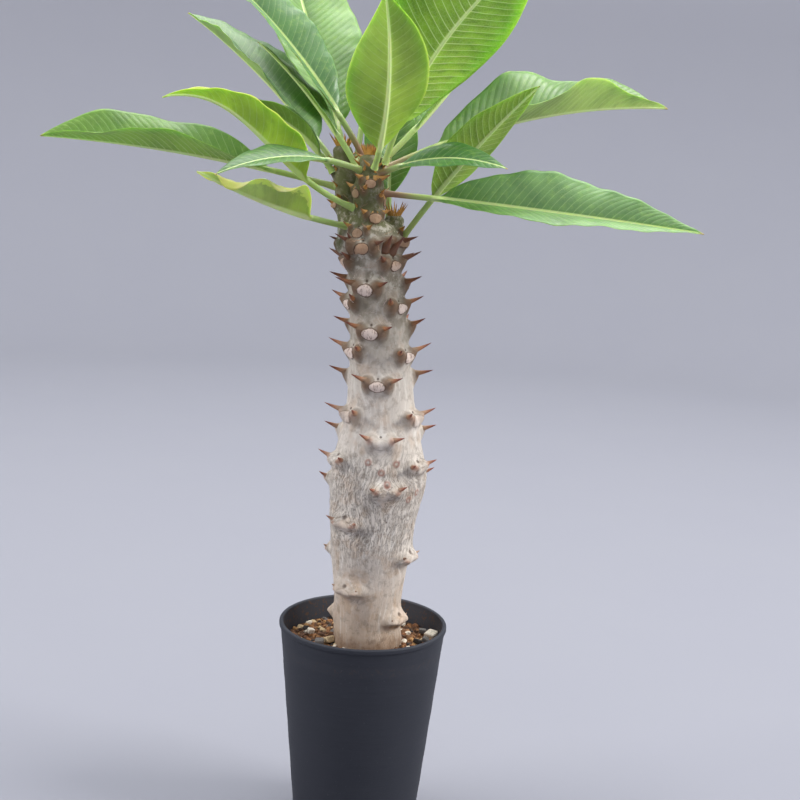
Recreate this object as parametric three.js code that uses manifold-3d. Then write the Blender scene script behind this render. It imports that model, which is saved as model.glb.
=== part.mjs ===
// A potted Pachypodium baronii: a young plant with a swollen, spiny trunk and a
// crown of large wavy leaves, standing in a small tapered pot filled with grit.
// Millimetres, +Z up. The origin is the middle of the pot's underside.

import * as THREE from 'three';
import Module from 'manifold-3d';
import { mergeVertices } from 'three/addons/utils/BufferGeometryUtils.js';

const wasm = await Module();
wasm.setup();

const GAP = 0.3;
const RAD = Math.PI / 180;
const TURN = 2 * Math.PI;

// Pot

const POT = {
  height: 95, rimRadius: 37.5, footRadius: 27.5, wall: 1.4, floor: 1.6,
  lipHeight: 2.4, lipProud: 0.5, lipRound: 0.6, heel: 1.2, sides: 48,
  drainHoles: 6, drainRadius: 2.6, drainCircle: 17, drainSides: 16,
};

// Soil

const SOIL = { top: 86.5, grain: 1.6, rings: 8, sectors: 56, hole: 0.9, holeSides: 28, holeRows: 7 };

// Trunk: height, sideways place of its middle, radius

const TRUNK_PROFILE = [
  [54, 2.5, 9], [60, 2.5, 12], [70, 2.5, 14.6], [86, 2.5, 15.3], [98, 1.7, 14.9], [112, 1.6, 15.6],
  [128, 1.7, 17.6], [142, 2, 19], [155, 3, 20.6], [163, 3.6, 21], [172, 3.6, 19.5], [183, 3.7, 17],
  [196, 3.1, 14.8], [214, 1.8, 13.1], [231, 0.3, 12.3], [250, -2.2, 11.3], [262, -3.6, 11.2],
  [267, -4.3, 10.9],
];
const TRUNK = { crown: 8, rows: 62, sides: 28 };

// Shoots: foot and head of the middle line, radius at foot and head

const SHOOTS = {
  front: { foot: [-6.6, -1.6, 262], head: [-6, -2, 299], footRadius: 9.6, headRadius: 5.2, slim: 6.3 },
  back: { foot: [-10.6, 3.6, 260], head: [-18.5, 9.5, 302], footRadius: 7.6, headRadius: 4.6, slim: 5.3 },
  side: { foot: [-0.5, 2.4, 258], head: [4.9, 6, 273.5], footRadius: 7, headRadius: 4.2, slim: 5.2 },
};
const SHOOT = { bud: 3, rows: 9, sides: 14 };

// Scars left by fallen leaves stand in tiers: height, bearing of the first, number in the tier

const TIERS = [
  [262.4, 250, 3], [255.5, 314, 3], [245, 251, 3], [237.4, 319, 3], [226.7, 255, 3],
  [216.3, 327, 3], [204.4, 265, 3], [189, 330, 3], [180, 270, 3], [168.5, 325, 3],
  [159.3, 280, 3], [143.2, 233, 2], [127, 335, 2], [112.4, 234, 2], [98, 330, 2],
];
const SHOOT_SCARS = [
  ['front', 289.3, 274], ['front', 285, 218], ['front', 282, 350], ['front', 275, 295],
  ['front', 268.5, 246], ['back', 280, 185], ['back', 291, 120],
  ['back', 277, 130], ['side', 267.5, 5], ['side', 264.5, 318],
];
const SWELLING = { height: 1.7, spread: 4, wide: 0.6 };
const SPINE = {
  longest: 9.5, shortest: 4.5, root: 1.7, lowRoot: 2.1, sunk: 2, inset: 0.4, sides: 4,
  aside: 4.3, above: 2.2, splay: 0.62, lift: 0.3, vary: 0.3, lowEnd: 125, highEnd: 205,
};
const SHOOT_SPINE = { length: 0.6, aside: 0.8 };

// Tufts of short spines on the buds: shoot, number, length
const TUFTS = [['front', 7, 5], ['back', 6, 5.5], ['side', 6, 5]];
const TUFT = { ring: 0.38, above: 1.6, lean: 0.28, spread: 0.2, root: 1.1, vary: 0.5 };

// Leaves. Each grows from a stem at a height and bearing, heads off at an angle, and reaches
// its tip a distance out and up. Arch and droop bend the rib, fold closes the two halves like
// a book, and roll turns the whole blade about its rib.

const LEAVES = [
  { stem: 'back', height: 287, bearing: 185, heading: 181, reach: 125, rise: 15, arch: 3.3,
    width: 34, stalk: 26, fold: 42, roll: -18, full: 0.56, point: 1.9, wave: [1.8, 1.6, 0.55] },
  { stem: 'trunk', height: 271, bearing: 190, heading: 200, reach: 64, rise: 20.5, arch: -2.5,
    width: 33, stalk: 15, fold: 62, roll: 6, twist: 8, full: 0.2, point: 1.1, flare: 18,
    wave: [2.4, 2.4, 0.1], young: true },
  { stem: 'front', height: 295, bearing: 215, heading: 213, reach: 66.5, rise: -4, arch: 6,
    width: 22, stalk: 15, fold: 10, roll: -15, full: 0.42, point: 1.3 },
  { stem: 'front', height: 279.2, bearing: 200, heading: 190, reach: 79.5, rise: 41, arch: -14.5, droop: 46,
    width: 27, stalk: 22, fold: 62, roll: 8, full: 0.26, point: 1.4, wave: [0.8, 2, 0.2], young: true },
  { stem: 'back', height: 294, bearing: 190, heading: 174, reach: 49, rise: 26, arch: 7,
    width: 14, stalk: 7, fold: 58, roll: 0, full: 0.42, point: 1.5 },
  { stem: 'back', height: 298, bearing: 150, heading: 141, reach: 92, rise: 62.5, arch: 4,
    width: 40, stalk: 10, fold: 27, roll: 5, full: 0.42, point: 2, wave: [1, 3, 0.2] },
  { stem: 'front', height: 297, bearing: 170, heading: 160, reach: 47, rise: 49, arch: 3,
    width: 12, stalk: 14, fold: 26, roll: 0, full: 0.4, point: 1.4 },
  { stem: 'front', height: 300, bearing: 120, heading: 160, reach: 80, rise: 83, arch: 5.5,
    width: 31, stalk: 20, fold: 28, roll: -17, full: 0.45, point: 1.8, wave: [0.6, 4, 0.1] },
  { stem: 'back', height: 300, bearing: 80, heading: 115, reach: 86, rise: 98, arch: 0,
    width: 45, stalk: 14, fold: 20, roll: 0, full: 0.5, point: 2, wave: [0.8, 3, 0.6] },
  { stem: 'front', height: 297, bearing: 285, heading: 272, reach: 27, rise: 67.5, arch: -3, sweep: 3.5,
    width: 36, stalk: 7, fold: 22, roll: 4, full: 0.42, point: 2, young: true },
  { stem: 'front', height: 299, bearing: 330, heading: 340, reach: 63, rise: 88, arch: 10,
    width: 54, stalk: 14, fold: 21, roll: -51, full: 0.52, point: 2, young: true },
  { stem: 'front', height: 298.3, bearing: 45, heading: 30, reach: 65, rise: 73, arch: -2.4,
    width: 32, stalk: 20, fold: 24, roll: -10, full: 0.45, point: 1.8 },
  { stem: 'front', height: 296, bearing: 10, heading: 22, reach: 137, rise: 32, arch: 8,
    width: 38, stalk: 24, fold: 42, open: 26, roll: 48, twist: -52, full: 0.36, point: 2,
    wave: [3, 2.3, 0.42] },
  { stem: 'side', height: 267, bearing: 340, heading: 350, reach: 54, rise: 66, arch: 2.2,
    width: 26, stalk: 20, fold: 15, roll: -40, full: 0.4, point: 1.7, young: true },
  { stem: 'front', height: 294, bearing: 318, heading: 333, reach: 56.5, rise: 5, arch: 5,
    width: 23, stalk: 8, fold: 8, roll: 25, full: 0.42, point: 1.4 },
  { stem: 'front', height: 285.5, bearing: 350, heading: 355, reach: 134, rise: -9.5, arch: 0.8,
    width: 36, stalk: 20, fold: 27, roll: 38, full: 0.42, point: 1.5, wave: [0.7, 3, 0] },
  { stem: 'back', height: 299, bearing: 30, heading: 80, reach: 40, rise: 60, arch: 3,
    width: 20, stalk: 14, fold: 20, roll: 0, full: 0.45, point: 1.7 },
  { stem: 'side', height: 269.5, bearing: 100, heading: 92, reach: 24, rise: 59.5, arch: 2,
    width: 25, stalk: 14, fold: 20, roll: 0, full: 0.5, point: 2 },
];
const BLADE = {
  edge: 0.32, face: 0.4, rib: 1.3, tip: 0.7, stalkRadius: 1.35, stalkSide: 0.96, stalkRows: 3,
  rows: 17, turn: 0.07, seat: 0.3, across: [-1, -0.5, 0, 0.5, 1],
};

const COLOURS = {
  pot: 0x2b2d33, soil: 0x8a6244, trunk: 0x8f8674, olderLeaf: 0x4f8a56, youngLeaf: 0x9db93a,
};

// Small helpers

function smooth(low, high, value) {
  const t = Math.min(Math.max((value - low) / (high - low), 0), 1);
  return t * t * (3 - 2 * t);
}

function mix(a, b, t) {
  return a + (b - a) * t;
}

// A repeatable draw between 0 and 1 for a pair of whole numbers
function draw(a, b) {
  const wave = Math.sin(a * 127.1 + b * 311.7) * 43758.5453;
  return wave - Math.floor(wave);
}

// Value of a column of a table at height z, on smooth cubic spans
function along(table, column, z) {
  const last = table.length - 1;
  if (z <= table[0][0]) return table[0][column];
  if (z >= table[last][0]) return table[last][column];
  let k = 0;
  while (z > table[k + 1][0]) k += 1;
  const slope = (i) => {
    const low = table[Math.max(i - 1, 0)];
    const high = table[Math.min(i + 1, last)];
    return (high[column] - low[column]) / (high[0] - low[0]);
  };
  const span = table[k + 1][0] - table[k][0];
  const t = (z - table[k][0]) / span;
  const t2 = t * t;
  const t3 = t2 * t;
  return (2 * t3 - 3 * t2 + 1) * table[k][column] + (t3 - 2 * t2 + t) * span * slope(k)
    + (3 * t2 - 2 * t3) * table[k + 1][column] + (t3 - t2) * span * slope(k + 1);
}

// A level ring of points, with an optional lift for each of them
function circle(x, y, radius, z, sides, lift = () => 0) {
  const ring = [];
  for (let j = 0; j < sides; j += 1) {
    const angle = (TURN * j) / sides;
    ring.push(new THREE.Vector3(x + radius * Math.cos(angle), y + radius * Math.sin(angle), z + lift(j)));
  }
  return ring;
}

// Rings that close the head of a stem with a low dome
function dome(x, y, radius, z, height, sides) {
  return [1, 2, 3].map((k) => {
    const angle = (k / 4) * (Math.PI / 2);
    return circle(x, y, radius * Math.cos(angle), z + height * Math.sin(angle), sides);
  });
}

// A closed body from rings of points, with a flat fan over each end
function loft(rings) {
  const sides = rings[0].length;
  const points = rings.flat();
  const faces = [];
  for (let i = 0; i < rings.length - 1; i += 1) {
    for (let j = 0; j < sides; j += 1) {
      const a = i * sides + j;
      const b = i * sides + (j + 1) % sides;
      faces.push(a, b, b + sides, a, b + sides, a + sides);
    }
  }
  const foot = points.push(centre(rings[0])) - 1;
  const head = points.push(centre(rings[rings.length - 1])) - 1;
  const top = (rings.length - 1) * sides;
  for (let j = 0; j < sides; j += 1) {
    const next = (j + 1) % sides;
    faces.push(foot, next, j);
    faces.push(head, top + j, top + next);
  }
  return geometryOf(points, faces);
}

function centre(ring) {
  const sum = new THREE.Vector3();
  ring.forEach((point) => sum.add(point));
  return sum.divideScalar(ring.length);
}

function geometryOf(points, faces) {
  const geometry = new THREE.BufferGeometry();
  geometry.setAttribute('position', new THREE.Float32BufferAttribute(points.flatMap((p) => p.toArray()), 3));
  geometry.setIndex(faces);
  return geometry;
}

function solidOf(geometry) {
  const bare = geometry.clone();
  bare.deleteAttribute('normal');
  bare.deleteAttribute('uv');
  const merged = mergeVertices(bare, 1e-4);
  return new wasm.Manifold(new wasm.Mesh({
    numProp: 3,
    vertProperties: new Float32Array(merged.attributes.position.array),
    triVerts: new Uint32Array(merged.index.array),
  }));
}

function geometryFrom(solid) {
  const mesh = solid.getMesh();
  const geometry = new THREE.BufferGeometry();
  geometry.setAttribute('position', new THREE.BufferAttribute(mesh.vertProperties, 3));
  geometry.setIndex(new THREE.BufferAttribute(mesh.triVerts, 1));
  return geometry;
}

// Middle and radius of the trunk or of a shoot at a height
function stemAt(name, z) {
  if (name === 'trunk') {
    return { x: along(TRUNK_PROFILE, 1, z), y: 0, radius: along(TRUNK_PROFILE, 2, z) };
  }
  const { foot, head, footRadius, headRadius, slim } = SHOOTS[name];
  const t = (z - foot[2]) / (head[2] - foot[2]);
  const radius = mix(slim, footRadius, 1 - smooth(0, 0.5, t)) - (slim - headRadius) * smooth(0.6, 1, t);
  return { x: mix(foot[0], head[0], t), y: mix(foot[1], head[1], t), radius };
}

// The way straight out of an upright stem at a bearing
function outward(bearing) {
  return new THREE.Vector3(Math.cos(bearing * RAD), Math.sin(bearing * RAD), 0);
}

function onStem(name, z, bearing, out = 0) {
  const { x, y, radius } = stemAt(name, z);
  return new THREE.Vector3(x, y, z).addScaledVector(outward(bearing), radius + out);
}

function scars() {
  const list = SHOOT_SCARS.map(([stem, z, bearing]) => ({ stem, z, bearing }));
  TIERS.forEach(([z, first, count], tier) => {
    for (let k = 0; k < count; k += 1) {
      const shift = k === 0 ? 0 : draw(tier, k) - 0.5;
      list.push({ stem: 'trunk', z: z + 3 * shift, bearing: first + (360 / count) * k + 10 * shift });
    }
  });
  return list;
}

const SCARS = scars();

// How far the bark swells out under the scars at a height and bearing of the trunk
function swelling(z, bearing) {
  const { radius } = stemAt('trunk', z);
  let rise = 0;
  SCARS.filter((scar) => scar.stem === 'trunk').forEach((scar) => {
    const turn = ((bearing - scar.bearing + 540) % 360) - 180;
    const side = turn * RAD * radius;
    const distance = (side * side * SWELLING.wide + (z - scar.z) ** 2) / SWELLING.spread ** 2;
    rise += SWELLING.height * Math.exp(-distance);
  });
  return rise;
}

// Radius of the pot's outer wall at a height
function potWall(z) {
  const { height, rimRadius, footRadius, lipProud } = POT;
  return footRadius + ((rimRadius - lipProud - footRadius) * z) / height;
}

function makePot() {
  const { height, rimRadius, footRadius, wall, floor, lipHeight, lipRound, heel } = POT;
  const rounding = [0, 1, 2, 3].map((k) => {
    const angle = (k / 3) * (Math.PI / 2);
    return [footRadius - heel * (1 - Math.sin(angle)), heel * (1 - Math.cos(angle))];
  });
  const profile = [
    [0, 0], ...rounding, [potWall(height - lipHeight), height - lipHeight],
    [rimRadius, height - lipHeight + lipRound], [rimRadius, height - lipRound],
    [rimRadius - lipRound, height], [potWall(height) - wall + lipRound, height],
    [potWall(height - lipRound) - wall, height - lipRound],
    [potWall(floor) - wall, floor], [0, floor],
  ].map(([x, y]) => new THREE.Vector2(x, y));
  const body = new THREE.LatheGeometry(profile, POT.sides);
  body.rotateX(Math.PI / 2);
  let solid = solidOf(body);
  for (let k = 0; k < POT.drainHoles; k += 1) {
    const hole = new THREE.CylinderGeometry(POT.drainRadius, POT.drainRadius, 4 * floor, POT.drainSides);
    hole.rotateX(Math.PI / 2);
    const angle = (k / POT.drainHoles) * TURN;
    hole.translate(POT.drainCircle * Math.cos(angle), POT.drainCircle * Math.sin(angle), 0);
    solid = solid.subtract(solidOf(hole));
  }
  return geometryFrom(solid);
}

// Grit: its top is a field of grains round a plain hole that the foot of the trunk stands in
function makeSoil() {
  const { top, grain, sectors } = SOIL;
  const bound = (z) => potWall(z) - POT.wall - GAP;
  const bottom = POT.floor + GAP;
  const shoulder = top - grain;
  const rings = [
    circle(0, 0, bound(bottom), bottom, sectors),
    circle(0, 0, bound(shoulder), shoulder, sectors),
  ];
  const stem = stemAt('trunk', top);
  for (let k = 1; k <= SOIL.rings; k += 1) {
    const t = k / SOIL.rings;
    const radius = mix(bound(shoulder), stem.radius + grain, t);
    rings.push(circle(stem.x * t, 0, radius, top, sectors, (j) => grain * (draw(k, j) - 0.5)));
  }
  const foot = TRUNK_PROFILE[0][0];
  const hole = [];
  for (let k = 0; k <= SOIL.holeRows; k += 1) {
    const z = mix(foot - GAP, top + 2 * grain, k / SOIL.holeRows);
    const { x, radius } = stemAt('trunk', z);
    hole.push(circle(x, 0, radius + SOIL.hole, z, SOIL.holeSides));
  }
  return geometryFrom(solidOf(loft(rings)).subtract(solidOf(loft(hole))));
}

function trunkBody() {
  const rings = [];
  const low = TRUNK_PROFILE[0][0];
  const high = TRUNK_PROFILE[TRUNK_PROFILE.length - 1][0];
  for (let i = 0; i <= TRUNK.rows; i += 1) {
    const z = mix(low, high, i / TRUNK.rows);
    const ring = [];
    for (let j = 0; j < TRUNK.sides; j += 1) {
      const bearing = (360 / TRUNK.sides) * j;
      ring.push(onStem('trunk', z, bearing, z > SOIL.top ? swelling(z, bearing) : 0));
    }
    rings.push(ring);
  }
  const { x, radius } = stemAt('trunk', high);
  return loft([...rings, ...dome(x, 0, radius, high, TRUNK.crown, TRUNK.sides)]);
}

function shootBody(name) {
  const { foot, head } = SHOOTS[name];
  const rings = [];
  for (let i = 0; i <= SHOOT.rows; i += 1) {
    const z = mix(foot[2], head[2], i / SHOOT.rows);
    const { x, y, radius } = stemAt(name, z);
    rings.push(circle(x, y, radius, z, SHOOT.sides));
  }
  const { x, y, radius } = stemAt(name, head[2]);
  return loft([...rings, ...dome(x, y, radius, head[2], SHOOT.bud, SHOOT.sides)]);
}

function spineAt(root, direction, length, thick) {
  const spine = new THREE.ConeGeometry(thick, length + SPINE.sunk, SPINE.sides);
  spine.translate(0, (length - SPINE.sunk) / 2, 0);
  spine.applyQuaternion(new THREE.Quaternion().setFromUnitVectors(new THREE.Vector3(0, 1, 0), direction));
  spine.translate(root.x, root.y, root.z);
  return solidOf(spine);
}

// A pair of spines flanks each scar
function spinePairs() {
  const spines = [];
  SCARS.forEach((scar, number) => {
    const onShoot = scar.stem !== 'trunk';
    const size = smooth(SPINE.lowEnd, SPINE.highEnd, scar.z);
    const length = mix(SPINE.shortest, SPINE.longest, size) * (onShoot ? SHOOT_SPINE.length : 1);
    const aside = SPINE.aside * (onShoot ? SHOOT_SPINE.aside : 1);
    const z = scar.z + SPINE.above;
    [-1, 1].forEach((hand) => {
      const bearing = scar.bearing + hand * (aside / stemAt(scar.stem, scar.z).radius) / RAD;
      const swell = onShoot ? 0 : swelling(z, bearing);
      const out = outward(bearing);
      const sideways = new THREE.Vector3(-out.y, out.x, 0).multiplyScalar(hand * SPINE.splay);
      const direction = out.clone().add(sideways).setZ(SPINE.lift).normalize();
      const vary = 1 + SPINE.vary * (draw(number, hand + 5) - 0.5);
      const root = onStem(scar.stem, z, bearing, swell - SPINE.inset);
      spines.push(spineAt(root, direction, length * vary, mix(SPINE.lowRoot, SPINE.root, size)));
    });
  });
  return spines;
}

// A tuft of short spines round the bud on the head of each shoot
function tufts() {
  const spines = [];
  TUFTS.forEach(([name, count, length], shoot) => {
    const { head, headRadius } = SHOOTS[name];
    for (let k = 0; k < count; k += 1) {
      const out = outward(((k + 0.5 * draw(shoot, k)) / count) * 360);
      const root = new THREE.Vector3(...head).addScaledVector(out, headRadius * TUFT.ring);
      const lean = TUFT.lean + TUFT.spread * draw(shoot + 3, k);
      const direction = out.clone().multiplyScalar(lean).setZ(1).normalize();
      const vary = 1 + TUFT.vary * (draw(shoot + 9, k) - 0.5);
      spines.push(spineAt(root.setZ(head[2] + TUFT.above), direction, length * vary, TUFT.root));
    }
  });
  return spines;
}

function makeTrunk() {
  let solid = solidOf(trunkBody());
  Object.keys(SHOOTS).forEach((name) => {
    solid = solid.add(solidOf(shootBody(name)));
  });
  [...spinePairs(), ...tufts()].forEach((spine) => {
    solid = solid.add(spine);
  });
  return geometryFrom(solid);
}

// The rib of a leaf and the frame that its blade is drawn in. The stalk starts as close to the
// stem as its own thickness lets it at the slant that it leaves at.
function ribOf(leaf) {
  const { stem, height, bearing, heading, reach, rise, arch, sweep = 0, droop = 0 } = leaf;
  const out = outward(heading);
  const side = new THREE.Vector3(-out.y, out.x, 0);
  const chord = out.clone().multiplyScalar(reach).setZ(rise);
  const slant = chord.clone().normalize().dot(outward(bearing));
  const seat = GAP + BLADE.seat + BLADE.stalkRadius * Math.sqrt(1 - slant ** 2);
  const start = onStem(stem, height, bearing, seat);
  const climb = Math.atan2(rise, reach);
  const normal = out.clone().multiplyScalar(-Math.sin(climb)).setZ(Math.cos(climb));
  const up = new THREE.Vector3(0, 0, 1);
  return (s) => {
    const bow = 4 * s * (1 - s);
    const point = start.clone().addScaledVector(chord, s)
      .addScaledVector(normal, arch * bow + droop * (s - s ** 4))
      .addScaledVector(side, sweep * bow);
    const ahead = chord.clone()
      .addScaledVector(normal, 4 * arch * (1 - 2 * s) + droop * (1 - 4 * s ** 3))
      .addScaledVector(side, 4 * sweep * (1 - 2 * s))
      .normalize();
    const across = up.clone().cross(ahead).normalize();
    const face = ahead.clone().cross(across);
    const roll = (leaf.roll + (leaf.twist ?? 0) * s) * RAD;
    return {
      point,
      across: across.clone().multiplyScalar(Math.cos(roll)).addScaledVector(face, Math.sin(roll)),
      face: face.clone().multiplyScalar(Math.cos(roll)).addScaledVector(across, -Math.sin(roll)),
    };
  };
}

// Share of the full width at a share of the blade's length
function outline(u, full, point) {
  const swell = Math.sin(Math.min(u / full, 1) * Math.PI / 2) ** 0.85;
  const taper = 1 - Math.max((u - full) / (1 - full), 0) ** point;
  return swell * taper;
}

function leafLength(rib) {
  const steps = 24;
  let length = 0;
  for (let i = 0; i < steps; i += 1) {
    length += rib(i / steps).point.distanceTo(rib((i + 1) / steps).point);
  }
  return length;
}

// Half the thickness above and below the middle of the blade, or of the round stalk
function thickness(v, u, blade) {
  const stalk = BLADE.stalkRadius * Math.sqrt(1 - (BLADE.stalkSide * v) ** 2);
  const atEdge = Math.abs(v) === 1;
  const above = atEdge ? BLADE.edge : BLADE.face;
  const below = v === 0 ? BLADE.rib * (1 - 0.7 * u) : above;
  return { above: mix(stalk, above, blade), below: mix(stalk, below, blade) };
}

function makeLeaf(leaf) {
  const rib = ribOf(leaf);
  const { rows, stalkRows, stalkRadius, tip } = BLADE;
  const [swing, waves, start] = leaf.wave ?? [0, 1, 0];
  const stalk = leaf.stalk / leafLength(rib);
  const rings = [];
  for (let i = 0; i <= rows; i += 1) {
    const s = i < stalkRows ? stalk * (i / stalkRows) : mix(stalk, 1, (i - stalkRows) / (rows - stalkRows));
    const u = Math.max((s - stalk) / (1 - stalk), 0);
    const blade = smooth(0, BLADE.turn, u);
    const half = Math.max((leaf.width / 2) * outline(u, leaf.full, leaf.point), u < 0.5 ? stalkRadius : tip);
    const fold = (leaf.fold + (leaf.open ?? 0) * u) * blade;
    const frame = rib(s);
    const top = [];
    const bottom = [];
    BLADE.across.forEach((v) => {
      const angle = (fold - (leaf.flare ?? 0) * blade * Math.abs(v)) * RAD;
      const swell = blade * Math.sin(Math.PI * Math.min(u, 1)) ** 0.5;
      const ripple = swing * v * v * swell * Math.sin(TURN * (waves * u + start + (v > 0 ? 0 : 0.37)));
      const middle = frame.point.clone()
        .addScaledVector(frame.across, v * half * Math.cos(angle))
        .addScaledVector(frame.face, Math.abs(v) * half * Math.sin(angle) + ripple);
      const normal = frame.face.clone().multiplyScalar(Math.cos(angle))
        .addScaledVector(frame.across, -Math.sign(v) * Math.sin(angle));
      const { above, below } = thickness(v, u, blade);
      top.push(middle.clone().addScaledVector(normal, above));
      bottom.unshift(middle.clone().addScaledVector(normal, -below));
    });
    rings.push([...top, ...bottom]);
  }
  return leafShell(rings);
}

// Closes the rings of a leaf, with both faces split along like diagonals
function leafShell(rings) {
  const sides = rings[0].length;
  const half = sides / 2;
  const points = rings.flat();
  const faces = [];
  const quad = (a, b, c, d, flip) => {
    if (flip) faces.push(a, b, d, b, c, d);
    else faces.push(a, b, c, a, c, d);
  };
  for (let i = 0; i < rings.length - 1; i += 1) {
    for (let j = 0; j < sides; j += 1) {
      const a = i * sides + j;
      const b = i * sides + (j + 1) % sides;
      quad(a, a + sides, b + sides, b, j >= half);
    }
  }
  const end = (rings.length - 1) * sides;
  for (let over = 0; over < half - 1; over += 1) {
    const under = sides - 1 - over;
    quad(over, over + 1, under - 1, under, false);
    quad(end + over, end + under, end + under - 1, end + over + 1, false);
  }
  return geometryOf(points, faces);
}

// The whole object

const group = new THREE.Group();

function place(name, geometry, colour, roughness) {
  const material = new THREE.MeshStandardMaterial({ color: colour, roughness, metalness: 0 });
  const mesh = new THREE.Mesh(geometry, material);
  mesh.name = name;
  group.add(mesh);
}

place('pot', makePot(), COLOURS.pot, 0.6);
place('soil', makeSoil(), COLOURS.soil, 0.95);
place('trunk', makeTrunk(), COLOURS.trunk, 0.85);
LEAVES.forEach((leaf, k) => {
  const name = `leaf_${String(k + 1).padStart(2, '0')}`;
  place(name, makeLeaf(leaf), leaf.young ? COLOURS.youngLeaf : COLOURS.olderLeaf, 0.45);
});

export default group;
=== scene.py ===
"""The finished look of a potted Pachypodium baronii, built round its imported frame."""

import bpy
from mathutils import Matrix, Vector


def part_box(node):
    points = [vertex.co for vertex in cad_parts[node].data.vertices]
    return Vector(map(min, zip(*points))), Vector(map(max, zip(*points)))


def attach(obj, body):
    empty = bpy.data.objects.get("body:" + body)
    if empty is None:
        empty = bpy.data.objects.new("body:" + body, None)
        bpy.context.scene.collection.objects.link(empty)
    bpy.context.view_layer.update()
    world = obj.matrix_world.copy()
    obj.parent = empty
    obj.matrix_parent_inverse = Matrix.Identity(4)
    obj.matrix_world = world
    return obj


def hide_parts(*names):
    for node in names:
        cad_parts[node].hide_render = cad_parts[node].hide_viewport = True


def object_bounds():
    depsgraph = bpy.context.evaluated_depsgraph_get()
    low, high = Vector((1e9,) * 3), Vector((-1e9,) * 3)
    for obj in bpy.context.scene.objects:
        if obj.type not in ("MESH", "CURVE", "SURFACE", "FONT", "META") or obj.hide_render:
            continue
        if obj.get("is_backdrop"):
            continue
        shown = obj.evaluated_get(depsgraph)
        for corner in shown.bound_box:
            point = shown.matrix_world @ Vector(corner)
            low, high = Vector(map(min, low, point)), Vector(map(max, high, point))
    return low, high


bl_info = {
    "name": "Potted Pachypodium",
    "version": (1, 0, 0),
    "blender": (4, 5, 0),
    "location": "3D View > Sidebar > Plant",
    "description": "Builds a spiny succulent with wavy leaves in a small pot of grit",
    "category": "Object",
}

import itertools
import math

import bpy
import numpy as np
from bpy.props import FloatProperty, FloatVectorProperty, IntProperty, PointerProperty
from mathutils import Matrix, Vector

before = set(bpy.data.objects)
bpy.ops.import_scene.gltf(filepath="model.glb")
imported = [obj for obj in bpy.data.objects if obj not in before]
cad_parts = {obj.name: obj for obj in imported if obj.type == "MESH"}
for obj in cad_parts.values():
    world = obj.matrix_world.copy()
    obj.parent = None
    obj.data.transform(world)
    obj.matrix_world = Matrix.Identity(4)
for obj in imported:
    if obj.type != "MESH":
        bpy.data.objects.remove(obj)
CAD_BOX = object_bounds()

MM = 0.001
BODY = "root"

# Places and sizes below are in millimetres and degrees, as the plant was measured.

# Trunk: height, sideways place of its middle, radius. Its skin starts at a foot in the grit and
# ends in a low dome.

TRUNK_PROFILE = np.array([
    (54, 2.5, 9), (60, 2.5, 12), (70, 2.5, 14.6), (86, 2.5, 15.3), (98, 1.7, 14.9), (112, 1.6, 15.6),
    (128, 1.7, 17.6), (142, 2, 19), (155, 3, 20.6), (163, 3.6, 21), (172, 3.6, 19.5), (183, 3.7, 17),
    (196, 3.1, 14.8), (214, 1.8, 13.1), (231, 0.3, 12.3), (250, -2.2, 11.3), (262, -3.6, 11.2),
    (267, -4.3, 10.9),
], float)
TRUNK_FOOT = 78
TRUNK_CROWN = 8

# Shoots: foot and head of the middle line, radius at foot, head and between. A bud closes each.

SHOOTS = {
    "front": dict(foot=(-6.6, -1.6, 262), head=(-6, -2, 299), foot_radius=9.6, head_radius=5.2, slim=6.3),
    "back": dict(foot=(-10.6, 3.6, 260), head=(-18.5, 9.5, 302), foot_radius=7.6, head_radius=4.6, slim=5.3),
    "side": dict(foot=(-0.5, 2.4, 258), head=(4.9, 6, 273.5), foot_radius=7, head_radius=4.2, slim=5.2),
}
BUD = 3

# Leaf scars: tiers on the trunk as height, bearing of the first and number, then those on shoots

TIERS = [
    (262.4, 250, 3), (255.5, 314, 3), (245, 251, 3), (237.4, 319, 3), (226.7, 255, 3),
    (216.3, 327, 3), (204.4, 265, 3), (189, 330, 3), (180, 270, 3), (168.5, 325, 3),
    (159.3, 280, 3), (143.2, 233, 2), (127, 335, 2), (112.4, 234, 2), (98, 330, 2),
]
SHOOT_SCARS = [
    ("front", 289.3, 274), ("front", 285, 218), ("front", 282, 350), ("front", 275, 295),
    ("front", 268.5, 246), ("back", 280, 185), ("back", 291, 120),
    ("back", 277, 130), ("side", 267.5, 5), ("side", 264.5, 318),
]

# The grain of the bark is drawn on a plain cylinder, and parts round each scar within a reach

FLOW_REACH = 4.6
FLOW_RADIUS = 17

# Small round marks between the scars, as height and bearing

KNOTS = [(172.4, 256), (172, 292), (168.4, 273), (163.6, 280), (156, 312), (158.5, 325)]

# Spines: a pair by each scar, from short ones low on the trunk to long ones between two heights,
# tufts on the buds as shoot, number, length and width, and loners as stem, height, bearing,
# length and width

SPINE = dict(longest=9.5, shortest=4.5, aside=4.3, above=2.2, splay=0.62, lift=0.3, vary=0.3, sunk=1.6)
SPINE_ENDS = (125, 205)
SHOOT_SPINE = dict(length=0.52, aside=0.85, width=1.0, age=-0.75)
TUFTS = [("front", 26, 5.8, 0.62), ("back", 14, 6.5, 0.55), ("side", 16, 7, 0.44)]
TUFT = dict(ring=0.38, above=1.6, lean=0.28, spread=0.6, vary=0.5)
CROWDED_SPINES = [
    ("trunk", 263.5, 299, 8, 1.2), ("trunk", 262.5, 319, 8.5, 1.2), ("trunk", 264, 228, 7, 1.1),
]
STALK_SPINE = dict(aside=2.6, above=0.3, splay=0.5, lift=0.55, length=3.2, vary=1.6, width=0.45, age=-0.7)

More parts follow.
